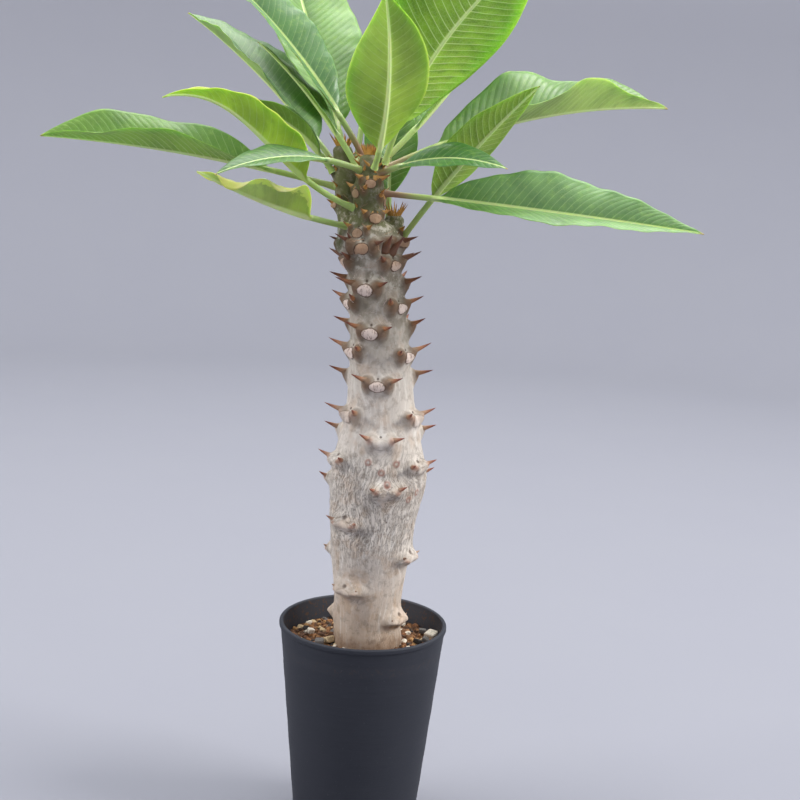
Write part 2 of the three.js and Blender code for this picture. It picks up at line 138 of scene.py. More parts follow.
# Leaves. Each grows from a stem at a height and bearing, heads off at an angle, and reaches its
# tip a distance out and up. Arch and droop bend the rib, fold closes the halves like a book and
# roll turns the blade about its rib. The blade is fullest at a share of its length, and point
# shapes its taper. Youth runs from blue-green to yellow-green, blush reddens the stalk, quilt is
# the depth of the relief between the veins and clear says how plainly the veins show.
# Further traits, which most leaves leave out: sweep bends the rib aside, open and twist add to
# fold and roll towards the tip, flare lays the margin flatter, curl turns it, and wave is the
# size, number and start of its waves. Pale lightens the blade and shade darkens it with painted
# shade, for leaves that lie in the shade of others; rim and rib are the widths of the pale
# margin and of the rib.

LEAF_TRAITS = (
    "stem", "height", "bearing", "heading", "reach", "rise", "arch", "width", "stalk",
    "fold", "roll", "full", "point", "youth", "blush", "quilt", "clear",
)
LEAF_ROWS = [
    (("back", 287, 185, 181, 125, 15, 3.3, 34, 26, 42, -18, 0.56, 1.9, 0.35, 0.2, 0.17, 0.6),
     dict(wave=(1.8, 1.6, 0.55), painted_shade=0.1)),
    (("trunk", 271, 190, 200, 64, 20.5, -2.5, 33, 15, 62, 6, 0.2, 1.1, 0.9, 0, 0.1, 0.12),
     dict(twist=8, flare=18, wave=(2.4, 2.4, 0.1), pale=0.9, rim=0.5, curl=4.5)),
    (("front", 295, 215, 213, 66.5, -4, 6, 22, 15, 10, -15, 0.42, 1.3, 0.1, 0.1, 0.15, 0.45),
     dict(painted_shade=0.4)),
    (("front", 279.2, 200, 190, 79.5, 41, -14.5, 27, 22, 62, 8, 0.26, 1.4, 1, 0, 0.14, 0.25),
     dict(droop=46, wave=(0.8, 2, 0.2), rim=0.07)),
    (("back", 294, 190, 174, 49, 26, 7, 14, 7, 58, 0, 0.42, 1.5, 0.5, 0, 0.1, 0.2),
     dict(painted_shade=0.45)),
    (("back", 298, 150, 141, 92, 62.5, 4, 40, 10, 27, 5, 0.42, 2, 0.15, 0.1, 0.06, 0.35),
     dict(wave=(1, 3, 0.2), pale=0.2)),
    (("front", 297, 170, 160, 47, 49, 3, 12, 14, 26, 0, 0.4, 1.4, 0.3, 0, 0.1, 0.3),
     dict(painted_shade=0.35)),
    (("front", 300, 120, 160, 80, 83, 5.5, 31, 20, 28, -17, 0.45, 1.8, 0.05, 1, 0.16, 0.4),
     dict(wave=(0.6, 4, 0.1), pale=0.3, rib=1.7)),
    (("back", 300, 80, 115, 86, 98, 0, 45, 14, 20, 0, 0.5, 2, 0.35, 0.2, 0.18, 0.3),
     dict(wave=(0.8, 3, 0.6), pale=0.5, rib=1.4)),
    (("front", 297, 285, 272, 27, 67.5, -3, 36, 7, 22, 4, 0.42, 2, 0.8, 0, 0.1, 0.25),
     dict(sweep=3.5, pale=0.15, painted_shade=0.2, rim=0.03)),
    (("front", 299, 330, 340, 63, 88, 10, 54, 14, 21, -51, 0.52, 2, 0.5, 0.1, 0.2, 1), {}),
    (("front", 298.3, 45, 30, 65, 73, -2.4, 32, 20, 24, -10, 0.45, 1.8, 0.25, 0.2, 0.3, 0.7), {}),
    (("front", 296, 10, 22, 137, 32, 8, 38, 24, 42, 48, 0.36, 2, 0.3, 0.8, 0.3, 0.45),
     dict(open=26, twist=-52, wave=(3, 2.3, 0.42), pale=0.6)),
    (("side", 267, 340, 350, 54, 66, 2.2, 26, 20, 15, -40, 0.4, 1.7, 0.7, 0.2, 0.16, 0.5),
     dict(painted_shade=0.35)),
    (("front", 294, 318, 333, 56.5, 5, 5, 23, 8, 8, 25, 0.42, 1.4, 0, 0.9, 0.2, 0.5),
     dict(painted_shade=0.1)),
    (("front", 285.5, 350, 355, 134, -9.5, 0.8, 36, 20, 27, 38, 0.42, 1.5, 0.15, 1, 0.17, 0.6),
     dict(wave=(0.7, 3, 0), rib=1.3, pale=0.75)),
    (("back", 299, 30, 80, 40, 60, 3, 20, 14, 20, 0, 0.45, 1.7, 0.3, 0.2, 0.2, 0.7), {}),
    (("side", 269.5, 100, 92, 24, 59.5, 2, 25, 14, 20, 0, 0.5, 2, 0.3, 0.2, 0.2, 0.7), {}),
]
LEAVES = [dict(zip(LEAF_TRAITS, row), **more) for row, more in LEAF_ROWS]
YOUNG_LEAVES = {2, 4, 10, 11, 14}
STALK_RADIUS = 1.35
SEAT = 0.6

CAMERA = dict(place=(0, -600, 310), target=(11.4, 0, 196.6), roll=3.0, lens=63, film=36)

# Soft lights as name, place and size in metres, and colour, all aimed at one spot in the crown

LIGHTS = [
    ("key", (1.8, -0.36, 1.2), 1.0, (1, 0.985, 0.96)),
    ("fill", (-1.85, -0.22, 0.85), 1.3, (1, 0.99, 0.98)),
    ("top", (0.1, 0.5, 1.9), 1.4, (1, 1, 0.98)),
]
LIT_SPOT = (0, 0, 0.27)
TOP_SHARE = 0.42
SKY_COLOUR = (0.86, 0.9, 1, 1)


# Small helpers


def smooth(low, high, value):
    """An S-shaped step from 0 at low to 1 at high."""
    t = np.clip((value - low) / (high - low), 0, 1)
    return t * t * (3 - 2 * t)


def mix(a, b, t):
    """The value a share t of the way from a to b."""
    return a + (b - a) * t


def draw(a, b):
    """A repeatable draw between 0 and 1 for a pair of whole numbers."""
    wave = math.sin(a * 127.1 + b * 311.7) * 43758.5453
    return wave - math.floor(wave)


def noise(points, seed=0):
    """Smooth noise from -1 to 1 at points that are measured in its own grain."""
    cell = np.floor(points).astype(np.int64)
    share = points - cell
    share = share * share * (3 - 2 * share)
    total = np.zeros(points.shape[:-1])
    for corner in itertools.product((0, 1), repeat=3):
        x, y, z = np.moveaxis(cell + corner, -1, 0)
        mixed = (x * 73856093) ^ (y * 19349663) ^ (z * 83492791) ^ (seed * 50331653)
        mixed = (mixed ^ (mixed >> 13)) * 1274126177
        value = ((mixed ^ (mixed >> 16)) & 0xFFFF) / 32767.5 - 1
        weight = np.prod(np.where(corner, share, 1 - share), axis=-1)
        total += value * weight
    return total


def linear(red, green, blue):
    """A colour read off a screen, 0 to 255, as a scene colour."""
    return tuple(c / 12.92 if c <= 0.04045 else ((c + 0.055) / 1.055) ** 2.4
                 for c in (red / 255, green / 255, blue / 255))


def unit(vectors):
    """Vectors with length 1."""
    return vectors / np.linalg.norm(vectors, axis=-1, keepdims=True)


def along(table, column, z):
    """Value of a column of a table at heights z, on smooth cubic spans."""
    heights, values = table[:, 0], table[:, column]
    last = len(heights) - 1
    low = np.maximum(np.arange(last + 1) - 1, 0)
    high = np.minimum(np.arange(last + 1) + 1, last)
    slopes = (values[high] - values[low]) / (heights[high] - heights[low])
    z = np.clip(z, heights[0], heights[-1])
    k = np.clip(np.searchsorted(heights, z, side="right") - 1, 0, last - 1)
    span = heights[k + 1] - heights[k]
    t = (z - heights[k]) / span
    return ((2 * t**3 - 3 * t**2 + 1) * values[k] + (t**3 - 2 * t**2 + t) * span * slopes[k]
            + (3 * t**2 - 2 * t**3) * values[k + 1] + (t**3 - t**2) * span * slopes[k + 1])


def stem_at(name, z):
    """Middle and radius of the trunk or of a shoot at heights z."""
    z = np.asarray(z, float)
    if name == "trunk":
        return along(TRUNK_PROFILE, 1, z), np.zeros_like(z), along(TRUNK_PROFILE, 2, z)
    shoot = SHOOTS[name]
    foot, head, slim = shoot["foot"], shoot["head"], shoot["slim"]
    t = (z - foot[2]) / (head[2] - foot[2])
    radius = mix(slim, shoot["foot_radius"], 1 - smooth(0, 0.5, t))
    radius = radius - (slim - shoot["head_radius"]) * smooth(0.6, 1, t)
    return mix(foot[0], head[0], t), mix(foot[1], head[1], t), radius


def outward(bearing):
    """The way straight out of an upright stem at a bearing."""
    angle = math.radians(bearing)
    return np.array([math.cos(angle), math.sin(angle), 0.0])


def sideways(out):
    """The level way a quarter turn to the left of a way out."""
    return np.array([-out[1], out[0], 0])


def on_stem(name, z, bearing, out=0.0):
    """The point on a stem at a height and bearing, or a distance out from it."""
    x, y, radius = stem_at(name, z)
    return np.array([x, y, z], float) + outward(bearing) * (radius + out)


def scar_list():
    """Stem, height and bearing of every leaf scar."""
    scars = list(SHOOT_SCARS)
    for tier, (z, first, count) in enumerate(TIERS):
        for k in range(count):
            shift = draw(tier, k) - 0.5 if k else 0
            scars.append(("trunk", z + 3 * shift, first + 360 / count * k + 10 * shift))
    return scars


SCARS = scar_list()


# Meshes and pieces


def mesh_object(name, points, faces, edges=()):
    """A new object in the scene from points in millimetres."""
    mesh = bpy.data.meshes.new(name)
    mesh.from_pydata((np.asarray(points, float) * MM).tolist(), list(edges), [list(f) for f in faces])
    mesh.update()
    piece = bpy.data.objects.new(name, mesh)
    bpy.context.scene.collection.objects.link(piece)
    return piece


def set_attribute(piece, name, kind, values):
    """Stores one value for each point of a piece's mesh."""
    field = {"FLOAT": "value", "FLOAT_VECTOR": "vector"}[kind]
    attribute = piece.data.attributes.new(name, kind, "POINT")
    attribute.data.foreach_set(field, np.asarray(values, np.float32).ravel())


def settled(piece):
    """The piece with its modifiers turned into plain mesh."""
    graph = bpy.context.evaluated_depsgraph_get()
    mesh = bpy.data.meshes.new_from_object(piece.evaluated_get(graph))
    mesh.name = piece.name
    piece.modifiers.clear()
    piece.data = mesh
    return piece


def joined(pieces, name):
    """Several mesh objects as one."""
    with bpy.context.temp_override(active_object=pieces[0], selected_editable_objects=pieces):
        bpy.ops.object.join()
    pieces[0].name = pieces[0].data.name = name
    return pieces[0]


def finished(piece, material, slot, *nodes):
    """Gives a piece its material and its place on the frame."""
    piece.data.materials.clear()
    piece.data.materials.append(material)
    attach(piece, BODY)
    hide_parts(*nodes)


def grow(piece, tree, sizes):
    """Runs a geometry tree on a piece, with its named inputs set to the sizes."""
    modifier = piece.modifiers.new(tree.name, "NODES")
    modifier.node_group = tree
    for item in tree.interface.items_tree:
        if item.item_type == "SOCKET" and item.in_out == "INPUT" and item.name in sizes:
            modifier[item.identifier] = sizes[item.name]
    return settled(piece)


# Node trees


class Value:
    """An output of a node, with arithmetic that adds Math nodes to its tree."""

    def __init__(self, build, socket):
        self.build = build
        self.socket = socket

    def __add__(self, other):
        return self.build.math("ADD", self, other)

    def __sub__(self, other):
        return self.build.math("SUBTRACT", self, other)

    def __rsub__(self, other):
        return self.build.math("SUBTRACT", other, self)

    def __mul__(self, other):
        return self.build.math("MULTIPLY", self, other)

    def __truediv__(self, other):
        return self.build.math("DIVIDE", self, other)

    __radd__ = __add__
    __rmul__ = __mul__

    def other(self, name):
        """Another output of the same node."""
        return Value(self.build, self.build.find(self.socket.node.outputs, name))


class Build:
    """Adds nodes to one tree, of a material or of geometry."""

    def __init__(self, tree):
        self.tree = tree
        tree.nodes.clear()

    def find(self, sockets, name):
        """A socket by its place, its identifier or its name."""
        if isinstance(name, int):
            return sockets[name]
        for socket in sockets:
            if socket.name == name and socket.enabled:
                return socket
        return next(socket for socket in sockets if socket.identifier == name)

    def node(self, kind, settings=None, sockets=None, out=0):
        """A node with its settings, then its sockets' values or links. Returns one output."""
        node = self.tree.nodes.new(kind)
        for name, value in (settings or {}).items():
            if name == "stops":
                self.set_stops(node.color_ramp, value)
            else:
                setattr(node, name, value)
        for name, value in (sockets or {}).items():
            for one in value if isinstance(value, list) else [value]:
                self.feed(self.find(node.inputs, name), one)
        return Value(self, self.find(node.outputs, out)) if len(node.outputs) else None

    def set_stops(self, ramp, stops):
        """Places a ramp's colours."""
        while len(ramp.elements) < len(stops):
            ramp.elements.new(1)
        for element, (place, colour) in zip(ramp.elements, stops):
            element.position = place
            element.color = (*colour, 1)

    def feed(self, socket, value):
        """Links or sets one input."""
        if isinstance(value, Value):
            self.tree.links.new(value.socket, socket)
        elif isinstance(value, tuple) and len(value) == 3 and socket.type == "RGBA":
            socket.default_value = (*value, 1)
        else:
            socket.default_value = value

    def math(self, operation, *values):
        """Arithmetic on numbers."""
        return self.node("ShaderNodeMath", {"operation": operation}, dict(enumerate(values)))

    def vector(self, operation, *values, out=0):
        """Arithmetic on vectors."""
        return self.node("ShaderNodeVectorMath", {"operation": operation}, dict(enumerate(values)), out)

    def step(self, low, high, value):
        """An S-shaped step from 0 at low to 1 at high, or back if low is above high."""
        ends = {"From Min": low, "From Max": high, "Value": value}
        if not isinstance(low, Value) and low > high:
            ends = {"From Min": high, "From Max": low, "To Min": 1.0, "To Max": 0.0, "Value": value}
        return self.node("ShaderNodeMapRange", {"interpolation_type": "SMOOTHSTEP"}, ends)

    def blend(self, a, b, share):
        """Colour a turned into colour b by a share."""
        return self.node("ShaderNodeMix", {"data_type": "RGBA"}, {"Factor": share, "A": a, "B": b}, "Result")

    def coats(self, colour, tones, shares):
        """A colour with named tones laid over it in turn, each by its share."""
        for name, share in shares.items():
            colour = self.blend(colour, tones[name], share)
        return colour

    def parts(self, vector):
        """The three numbers of a vector."""
        x = self.node("ShaderNodeSeparateXYZ", None, {0: vector})
        return x, x.other("Y"), x.other("Z")

    def xyz(self, x=0.0, y=0.0, z=0.0):
        """A vector from three numbers."""
        return self.node("ShaderNodeCombineXYZ", None, {0: x, 1: y, 2: z})

    def grain(self, place, scale, detail=2.0, rough=0.5, stretch=(1, 1, 1)):
        """Noise from 0 to 1 at a place, coarser along an axis whose stretch is above 1."""
        if stretch != (1, 1, 1):
            place = self.vector("DIVIDE", place, stretch)
        sockets = {"Vector": place, "Scale": scale, "Detail": detail, "Roughness": rough}
        return self.node("ShaderNodeTexNoise", None, sockets)

    def net(self, place, scale):
        """Distance to the lines of a net of cells."""
        sockets = {"Vector": place, "Scale": scale}
        return self.node("ShaderNodeTexVoronoi", {"feature": "DISTANCE_TO_EDGE"}, sockets)


class Finish(Build):
    """A material under construction."""

    def __init__(self, name):
        self.material = bpy.data.materials.new(name)
        self.material.use_nodes = True
        super().__init__(self.material.node_tree)
        self.place = self.node("ShaderNodeTexCoord", None, None, "Object")
        self.place = self.vector("SCALE", self.place)
        self.place.socket.node.inputs["Scale"].default_value = 1 / MM

    def attribute(self, name, out="Vector"):
        """A value stored on the mesh."""
        return self.node("ShaderNodeAttribute", {"attribute_name": name}, None, out)

    def bump(self, height, depth):
        """A surface normal from a height of 0 to 1 that is a depth in millimetres."""
        return self.node("ShaderNodeBump", None, {"Strength": 1.0, "Distance": depth * MM, "Height": height})

    def surface(self, **sockets):
        """Ends the material in one surface and returns it."""
        names = {name.replace("_", " "): value for name, value in sockets.items()}
        shader = self.node("ShaderNodeBsdfPrincipled", None, names)
        self.node("ShaderNodeOutputMaterial", None, {"Surface": shader})
        return self.material


def geometry_tree(name, inputs):
    """A new geometry tree with named inputs, its builder and its inputs as values."""
    tree = bpy.data.node_groups.new(name, "GeometryNodeTree")
    tree.interface.new_socket("Geometry", in_out="INPUT", socket_type="NodeSocketGeometry")
    tree.interface.new_socket("Geometry", in_out="OUTPUT", socket_type="NodeSocketGeometry")
    for label, (kind, default) in inputs.items():
        socket = tree.interface.new_socket(label, in_out="INPUT", socket_type="NodeSocket" + kind)
        if default is not None:
            socket.default_value = default
    build = Build(tree)
    first = build.node("NodeGroupInput")
    return tree, build, {name: first.other(name) for name in ["Geometry", *inputs]}


def end_tree(build, geometry, material):
    """Ends a geometry tree in real faces with a material."""
    real = build.node("GeometryNodeRealizeInstances", None, {"Geometry": geometry})
    dressed = build.node("GeometryNodeSetMaterial", None, {"Geometry": real, "Material": material})
    build.node("NodeGroupOutput", {"is_active_output": True}, {"Geometry": dressed})


# Settings that a user would change


def length(name, description, size, **more):
    """A setting that is a length, given in millimetres."""
    return FloatProperty(name=name, description=description, default=size * MM,
                         unit="LENGTH", subtype="DISTANCE", **more)


def tint(name, description, *colour):
    """A setting that is a colour, given as it is read off a screen."""
    return FloatVectorProperty(name=name, description=description, size=3, subtype="COLOR",
                               min=0, max=1, default=linear(*colour))


class PotSettings(bpy.types.PropertyGroup):
    """Sizes and colours of the pot."""

    wall: length("Wall", "Thickness of the wall", 1.4, min=0.5 * MM)
    lip_height: length("Lip Height", "Height of the band under the rim", 2.4)
    colour: tint("Colour", "Colour of the plastic", 35, 38, 47)
    dust: tint("Dust", "Colour of the dust on it", 92, 92, 96)


class GritSettings(bpy.types.PropertyGroup):
    """Size and draw of the granules."""

    coarse: length("Coarse Grain", "Size of the larger granules", 2.7)
    fine: length("Fine Grain", "Size of the granules between them", 1.6)
    seed: IntProperty(name="Seed", description="Number that the draw of granules starts from", default=4)


class BarkSettings(bpy.types.PropertyGroup):
    """Relief and colours of the bark."""

    cell: length("Mesh Cell", "Size of the faces of the bark", 0.55)
    wrinkle: length("Wrinkle", "Depth of the wrinkles", 0.5)
    silver: tint("Silver", "Colour of the pale bark", 208, 199, 188)
    tan: tint("Tan", "Colour of the brown bark", 196, 174, 152)
    green: tint("Green", "Colour of the young shoots", 96, 98, 58)
    scar: tint("Scar", "Colour of a leaf scar", 216, 198, 186)


class SpineSettings(bpy.types.PropertyGroup):
    """Shape and colours of the spines."""

    root: length("Root Radius", "Radius of a spine where it leaves the bark", 2.6)
    bend: FloatProperty(name="Bend", description="How far a tip turns up, in root radii", default=0.4)
    amber: tint("Amber", "Colour of the middle of a spine", 158, 98, 52)
    tip: tint("Tip", "Colour of the tip of a spine", 104, 46, 34)


class LeafSettings(bpy.types.PropertyGroup):
    """Relief and colours of the leaves."""

    vein_gap: length("Vein Gap", "Distance between side veins", 3.3)
    blade: length("Blade", "Half the thickness of the blade", 0.26)
    upper_old: tint("Upper Old", "Upper side of an old leaf", 60, 114, 42)
    upper_young: tint("Upper Young", "Upper side of a young leaf", 138, 176, 34)
    under_old: tint("Under Old", "Underside of an old leaf", 124, 170, 62)
    under_young: tint("Under Young", "Underside of a young leaf", 178, 208, 60)
    vein: tint("Vein", "Colour of the veins and the rib", 212, 226, 158)


class StageSettings(bpy.types.PropertyGroup):
    """Floor and light."""

    floor: tint("Floor", "Colour of the floor and its sweep", 134, 135, 144)
    key: FloatProperty(name="Key", description="Power of the main light", default=80.0, unit="POWER")
    fill: FloatProperty(name="Fill", description="Power of the fill light", default=94.0, unit="POWER")
    sky: FloatProperty(name="Sky", description="Strength of the light from all round", default=0.8)


# Pot


POT_FOOT = 27.5
RIM_STEP = 0.5


def pot_sizes():
    """Height, rim radius and foot radius of the pot, the first two read off its solid."""
    low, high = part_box("pot")
    return (high.z - low.z) / MM, (high.x - low.x) / 2 / MM, POT_FOOT


def pot_wall(z):
    """Radius of the pot's outer wall at a height."""
    height, rim, foot = pot_sizes()
    return foot + (rim - RIM_STEP - foot) * z / height


def arc(middle, radius, start, stop, steps):
    """Points on a round corner, as radius and height."""
    angles = np.radians(np.linspace(start, stop, steps))
    return [(middle[0] + radius * math.cos(a), middle[1] + radius * math.sin(a)) for a in angles]


def pot_profile(wall, lip_height):
    """The pot's section from the middle of its underside round to the middle of its floor."""
    height, rim, foot = pot_sizes()
    heel, lip, floor = 1.2, 0.7, 1.6
    outer = [(0, 0.25), (8, 0.25), (foot - 4, 0.25), (foot - 3.4, 0)]
    outer += arc((foot - heel, heel), heel, -90, 0, 6)
    turned = np.arange(3, height - lip_height - 0.5, 1.0)
    outer += [(pot_wall(z) + 0.03 * math.sin(z * 2.1) + 0.05 * math.sin(z * 0.37), z) for z in turned]
    outer += [(pot_wall(height - lip_height), height - lip_height)]
    outer += arc((rim - lip, height - lip_height + lip), lip, -60, 0, 4)
    outer += arc((rim - lip, height - lip), lip, 0, 90, 6)
    inside = pot_wall(height) - wall
    inner = arc((inside + lip, height - lip), lip, 90, 180, 6)
    inner += [(pot_wall(z) - wall, z) for z in (80, 60, 40, 20)]
    inner += arc((pot_wall(floor) - wall - 1.5, floor + 1.5), 1.5, 0, -90, 4)
    return outer + inner + [(8, floor), (0, floor)]


def turning_tree(material):
    """Turns a profile round the upright axis and cuts a ring of drain holes in its floor."""
    tree, build, given = geometry_tree("Turned Pot", {
        "Segments": ("Int", 96), "Drain Holes": ("Int", 6),
        "Drain Radius": ("Float", 2.6 * MM), "Drain Circle": ("Float", 17 * MM),
    })
    rows = build.node("GeometryNodeAttributeDomainSize", None, {"Geometry": given["Geometry"]})
    columns = given["Segments"] + 1
    grid = build.node("GeometryNodeMeshGrid", None, {"Vertices X": rows, "Vertices Y": columns})
    index = build.node("GeometryNodeInputIndex")
    row = build.math("FLOOR", (index + 0.5) / columns)
    turn = (index - row * columns) / given["Segments"] * (2 * math.pi)
    here = build.node("GeometryNodeInputPosition")
    sample = build.node("GeometryNodeSampleIndex", {"data_type": "FLOAT_VECTOR"},
                        {"Geometry": given["Geometry"], "Value": here, "Index": row}, "Value")
    radius, _, height = build.parts(sample)
    place = build.xyz(radius * build.math("COSINE", turn), radius * build.math("SINE", turn), height)
    body = build.node("GeometryNodeSetPosition", None, {"Geometry": grid, "Position": place})
    body = build.node("GeometryNodeMergeByDistance", None, {"Geometry": body, "Distance": 1e-6})
    ring = build.node("GeometryNodeMeshCircle", None,
                      {"Vertices": given["Drain Holes"], "Radius": given["Drain Circle"]})
    drill = build.node("GeometryNodeMeshCylinder", None,
                       {"Vertices": 24, "Radius": given["Drain Radius"], "Depth": 8 * MM})
    drills = build.node("GeometryNodeInstanceOnPoints", None, {"Points": ring, "Instance": drill})
    drills = build.node("GeometryNodeRealizeInstances", None, {0: drills})
    cut = build.node("GeometryNodeMeshBoolean", {"operation": "DIFFERENCE", "solver": "EXACT"},
                     {"Mesh 1": body, "Mesh 2": drills})
    end_tree(build, build.node("GeometryNodeSetShadeSmooth", None, {0: cut}), material)
    return tree


def pot_finish(settings):
    """Matte dark plastic, faintly turned, with dust that gathers inside and at the rim."""
    make = Finish("pot_plastic")
    x, y, z = make.parts(make.place)
    lines = make.grain(make.place, 1.6, 2, stretch=(14, 14, 1))
    cloud = make.grain(make.place, 0.06, 4)
    speck = make.step(0.66, 0.74, make.grain(make.place, 0.9, 3, 0.6))
    near_soil = make.step(80, 91, z) * make.step(97, 93, z)
    reach = make.math("SQRT", x * x + y * y)
    inside = make.step(36.3, 35.6, reach) * near_soil
    crumbs = make.step(0.55, 0.62, make.grain(make.place, 0.5, 4, 0.7)) * inside
    dust = 0.10 * cloud + 0.22 * speck + 0.08 * lines + 0.25 * inside
    colour = make.blend(tuple(settings.colour), tuple(settings.dust), make.math("MINIMUM", dust, 1.0))
    colour = make.blend(colour, linear(96, 70, 50), crumbs * 0.7)
    rough = 0.5 + 0.16 * cloud + 0.2 * inside + 0.1 * lines
    height = 0.7 * lines + 0.3 * make.grain(make.place, 4, 2)
    return make.surface(Base_Color=colour, Roughness=rough, Normal=make.bump(height, 0.06),
                        Specular_IOR_Level=0.3)


class PLANT_OT_add_pot(bpy.types.Operator):
    """Turns the pot with its lip, foot and drain holes"""

    bl_idname = "plant.add_pot"
    bl_label = "Pot"

    def execute(self, context):
        settings = context.scene.plant_pot
        section = pot_profile(settings.wall / MM, settings.lip_height / MM)
        points = [(radius, 0, height) for radius, height in section]
        edges = [(k, k + 1) for k in range(len(points) - 1)]
        piece = mesh_object("pot_body", points, [], edges)
        material = pot_finish(settings)
        grow(piece, turning_tree(material), {"Segments": 120, "Drain Holes": 6})
        piece.data.set_sharp_from_angle(angle=math.radians(50))
        finished(piece, material, "pot", "pot")
        return {"FINISHED"}


# Grit


SOIL_TOP = 86.5
SOIL_HOLE = 13.6
POT_WALL = 1.4
BED_GAP = 0.15
BED_DEPTH = 8


def grit_bed():
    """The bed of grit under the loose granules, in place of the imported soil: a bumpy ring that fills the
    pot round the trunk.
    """
    outer = pot_wall(SOIL_TOP) - POT_WALL - BED_GAP
    rings, sectors = 26, 120
    middle = stem_at("trunk", SOIL_TOP)[0]
    share = np.linspace(0, 1, rings)[:, None]
    angle = np.linspace(0, 2 * math.pi, sectors, endpoint=False)[None, :]
    radius = mix(SOIL_HOLE, outer, share) + 0 * angle
    x = radius * np.cos(angle) + middle * (1 - share)
    y = radius * np.sin(angle)
    base = np.stack([x, y, np.full_like(x, SOIL_TOP - 1.4)], -1)
    base[..., 2] += 0.5 * noise(base / 2.2, 1) + 0.5 * noise(base / 7, 2)
    deep = base[[0, -1]] * 1.0
    deep[..., 2] = SOIL_TOP - BED_DEPTH
    points = np.concatenate([deep[:1], base, deep[1:]]).reshape(-1, 3)
    faces = []
    total = rings + 2
    for i in range(total):
        for j in range(sectors):
            near, far = i * sectors, (i + 1) % total * sectors
            nxt = (j + 1) % sectors
            faces.append((near + j, far + j, far + nxt, near + nxt))
    return points, faces


def scatter_tree(material):
    """Scatters unlike pebbles over the faces of a bed."""
    tree, build, given = geometry_tree("Scattered Grit", {
        "Spacing": ("Float", 2.4 * MM), "Grain": ("Float", 3 * MM), "Seed": ("Int", 1),
        "Sink": ("Float", 0.4 * MM), "Reach": ("Float", 33 * MM),
    })
    normal = build.node("GeometryNodeInputNormal")
    x, y, _ = build.parts(build.node("GeometryNodeInputPosition"))
    clear = build.math("LESS_THAN", x * x + y * y, given["Reach"] * given["Reach"])
    upward = build.math("GREATER_THAN", build.parts(normal)[2], 0.5) * clear
    spots = build.node("GeometryNodeDistributePointsOnFaces", {"distribute_method": "POISSON"},
                       {"Mesh": given["Geometry"], "Selection": upward, "Distance Min": given["Spacing"],
                        "Density Max": 1e6, "Seed": given["Seed"]}, "Points")
    stone = build.node("GeometryNodeMeshIcoSphere", None, {"Radius": 0.5, "Subdivisions": 2})

    def pick(kind, low, high, step):
        """A draw between two ends for each stone."""
        ends = {"Min": low, "Max": high, "Seed": given["Seed"] + step}
        return build.node("FunctionNodeRandomValue", {"data_type": kind}, ends, "Value")

    size = pick("FLOAT", 0.6, 1.35, 1)
    shape = pick("FLOAT_VECTOR", (0.75, 0.75, 0.6), (1.2, 1.2, 0.95), 2)
    turn = pick("FLOAT_VECTOR", (-0.6, -0.6, 0), (0.6, 0.6, 6.283), 3)
    scale = build.node("ShaderNodeVectorMath", {"operation": "SCALE"},
                       {"Vector": shape, "Scale": size * given["Grain"]})
    stones = build.node("GeometryNodeInstanceOnPoints", None,
                        {"Points": spots, "Instance": stone, "Rotation": turn, "Scale": scale})
    tone = pick("FLOAT", 0.0, 1.0, 4)
    stones = build.node("GeometryNodeStoreNamedAttribute", {"data_type": "FLOAT", "domain": "INSTANCE"},
                        {"Geometry": stones, "Name": "grain", "Value": tone})
    stones = build.node("GeometryNodeRealizeInstances", None, {0: stones})
    here = build.node("GeometryNodeInputPosition")
    chips = build.node("ShaderNodeTexNoise", None, {"Vector": here, "Scale": 520.0, "Detail": 1.0})
    push = build.node("ShaderNodeVectorMath", {"operation": "SCALE"},
                      {"Vector": normal, "Scale": (chips - 0.5) * given["Grain"] * 0.75})
    lower = build.vector("SUBTRACT", push, build.xyz(z=given["Sink"]))
    stones = build.node("GeometryNodeSetPosition", None, {"Geometry": stones, "Offset": lower})
    end_tree(build, stones, material)
    return tree


GRAIN_COLOURS = [
    (0.0, linear(118, 82, 52)), (0.16, linear(150, 106, 66)), (0.34, linear(88, 60, 40)),
    (0.48, linear(174, 132, 84)), (0.6, linear(128, 84, 52)), (0.72, linear(72, 54, 40)),
    (0.8, linear(206, 182, 142)), (0.88, linear(112, 108, 104)), (0.92, linear(226, 216, 198)),
    (0.96, linear(58, 54, 52)),
]


def grit_finish(name, stained):
    """Dry mineral granules of several colours, or the dark crumbs between them."""
    make = Finish(name)
    spots = make.grain(make.place, 1.6, 4, 0.65)
    if stained:
        colour = make.blend(linear(58, 38, 26), linear(120, 80, 50), spots)
    else:
        tone = make.attribute("grain", "Fac")
        ramp = make.node("ShaderNodeValToRGB", {"stops": GRAIN_COLOURS}, {0: tone}, "Color")
        ramp.socket.node.color_ramp.interpolation = "CONSTANT"
        light = make.blend(ramp, linear(40, 26, 18), make.step(0.6, 0.25, spots) * 0.55)
        colour = make.blend(light, linear(228, 200, 160), make.step(0.62, 0.8, spots) * 0.3)
    height = 0.6 * spots + 0.4 * make.grain(make.place, 6, 2)
    return make.surface(Base_Color=colour, Roughness=0.86 + 0.1 * spots, Normal=make.bump(height, 0.25))


# Lumps that stand out: place across and along, size, tone and seed

NOTABLE_GRAINS = [
    (31.5, 7.5, 5.2, 0.95, 11), (28.5, 1.5, 3.4, 0.9, 12), (25.0, -1.0, 3.0, 0.98, 13),
    (-14.8, -3.5, 4.4, 0.83, 14), (-19.0, -7.0, 4.2, 0.91, 15), (-23.5, 6.5, 3.2, 0.96, 16),
    (21.5, -12.0, 3.6, 0.84, 17), (27.5, 13.0, 3.0, 0.9, 18), (-8.0, -24.0, 3.4, 0.6, 19),
    (8.0, 25.0, 3.8, 0.84, 20),
]


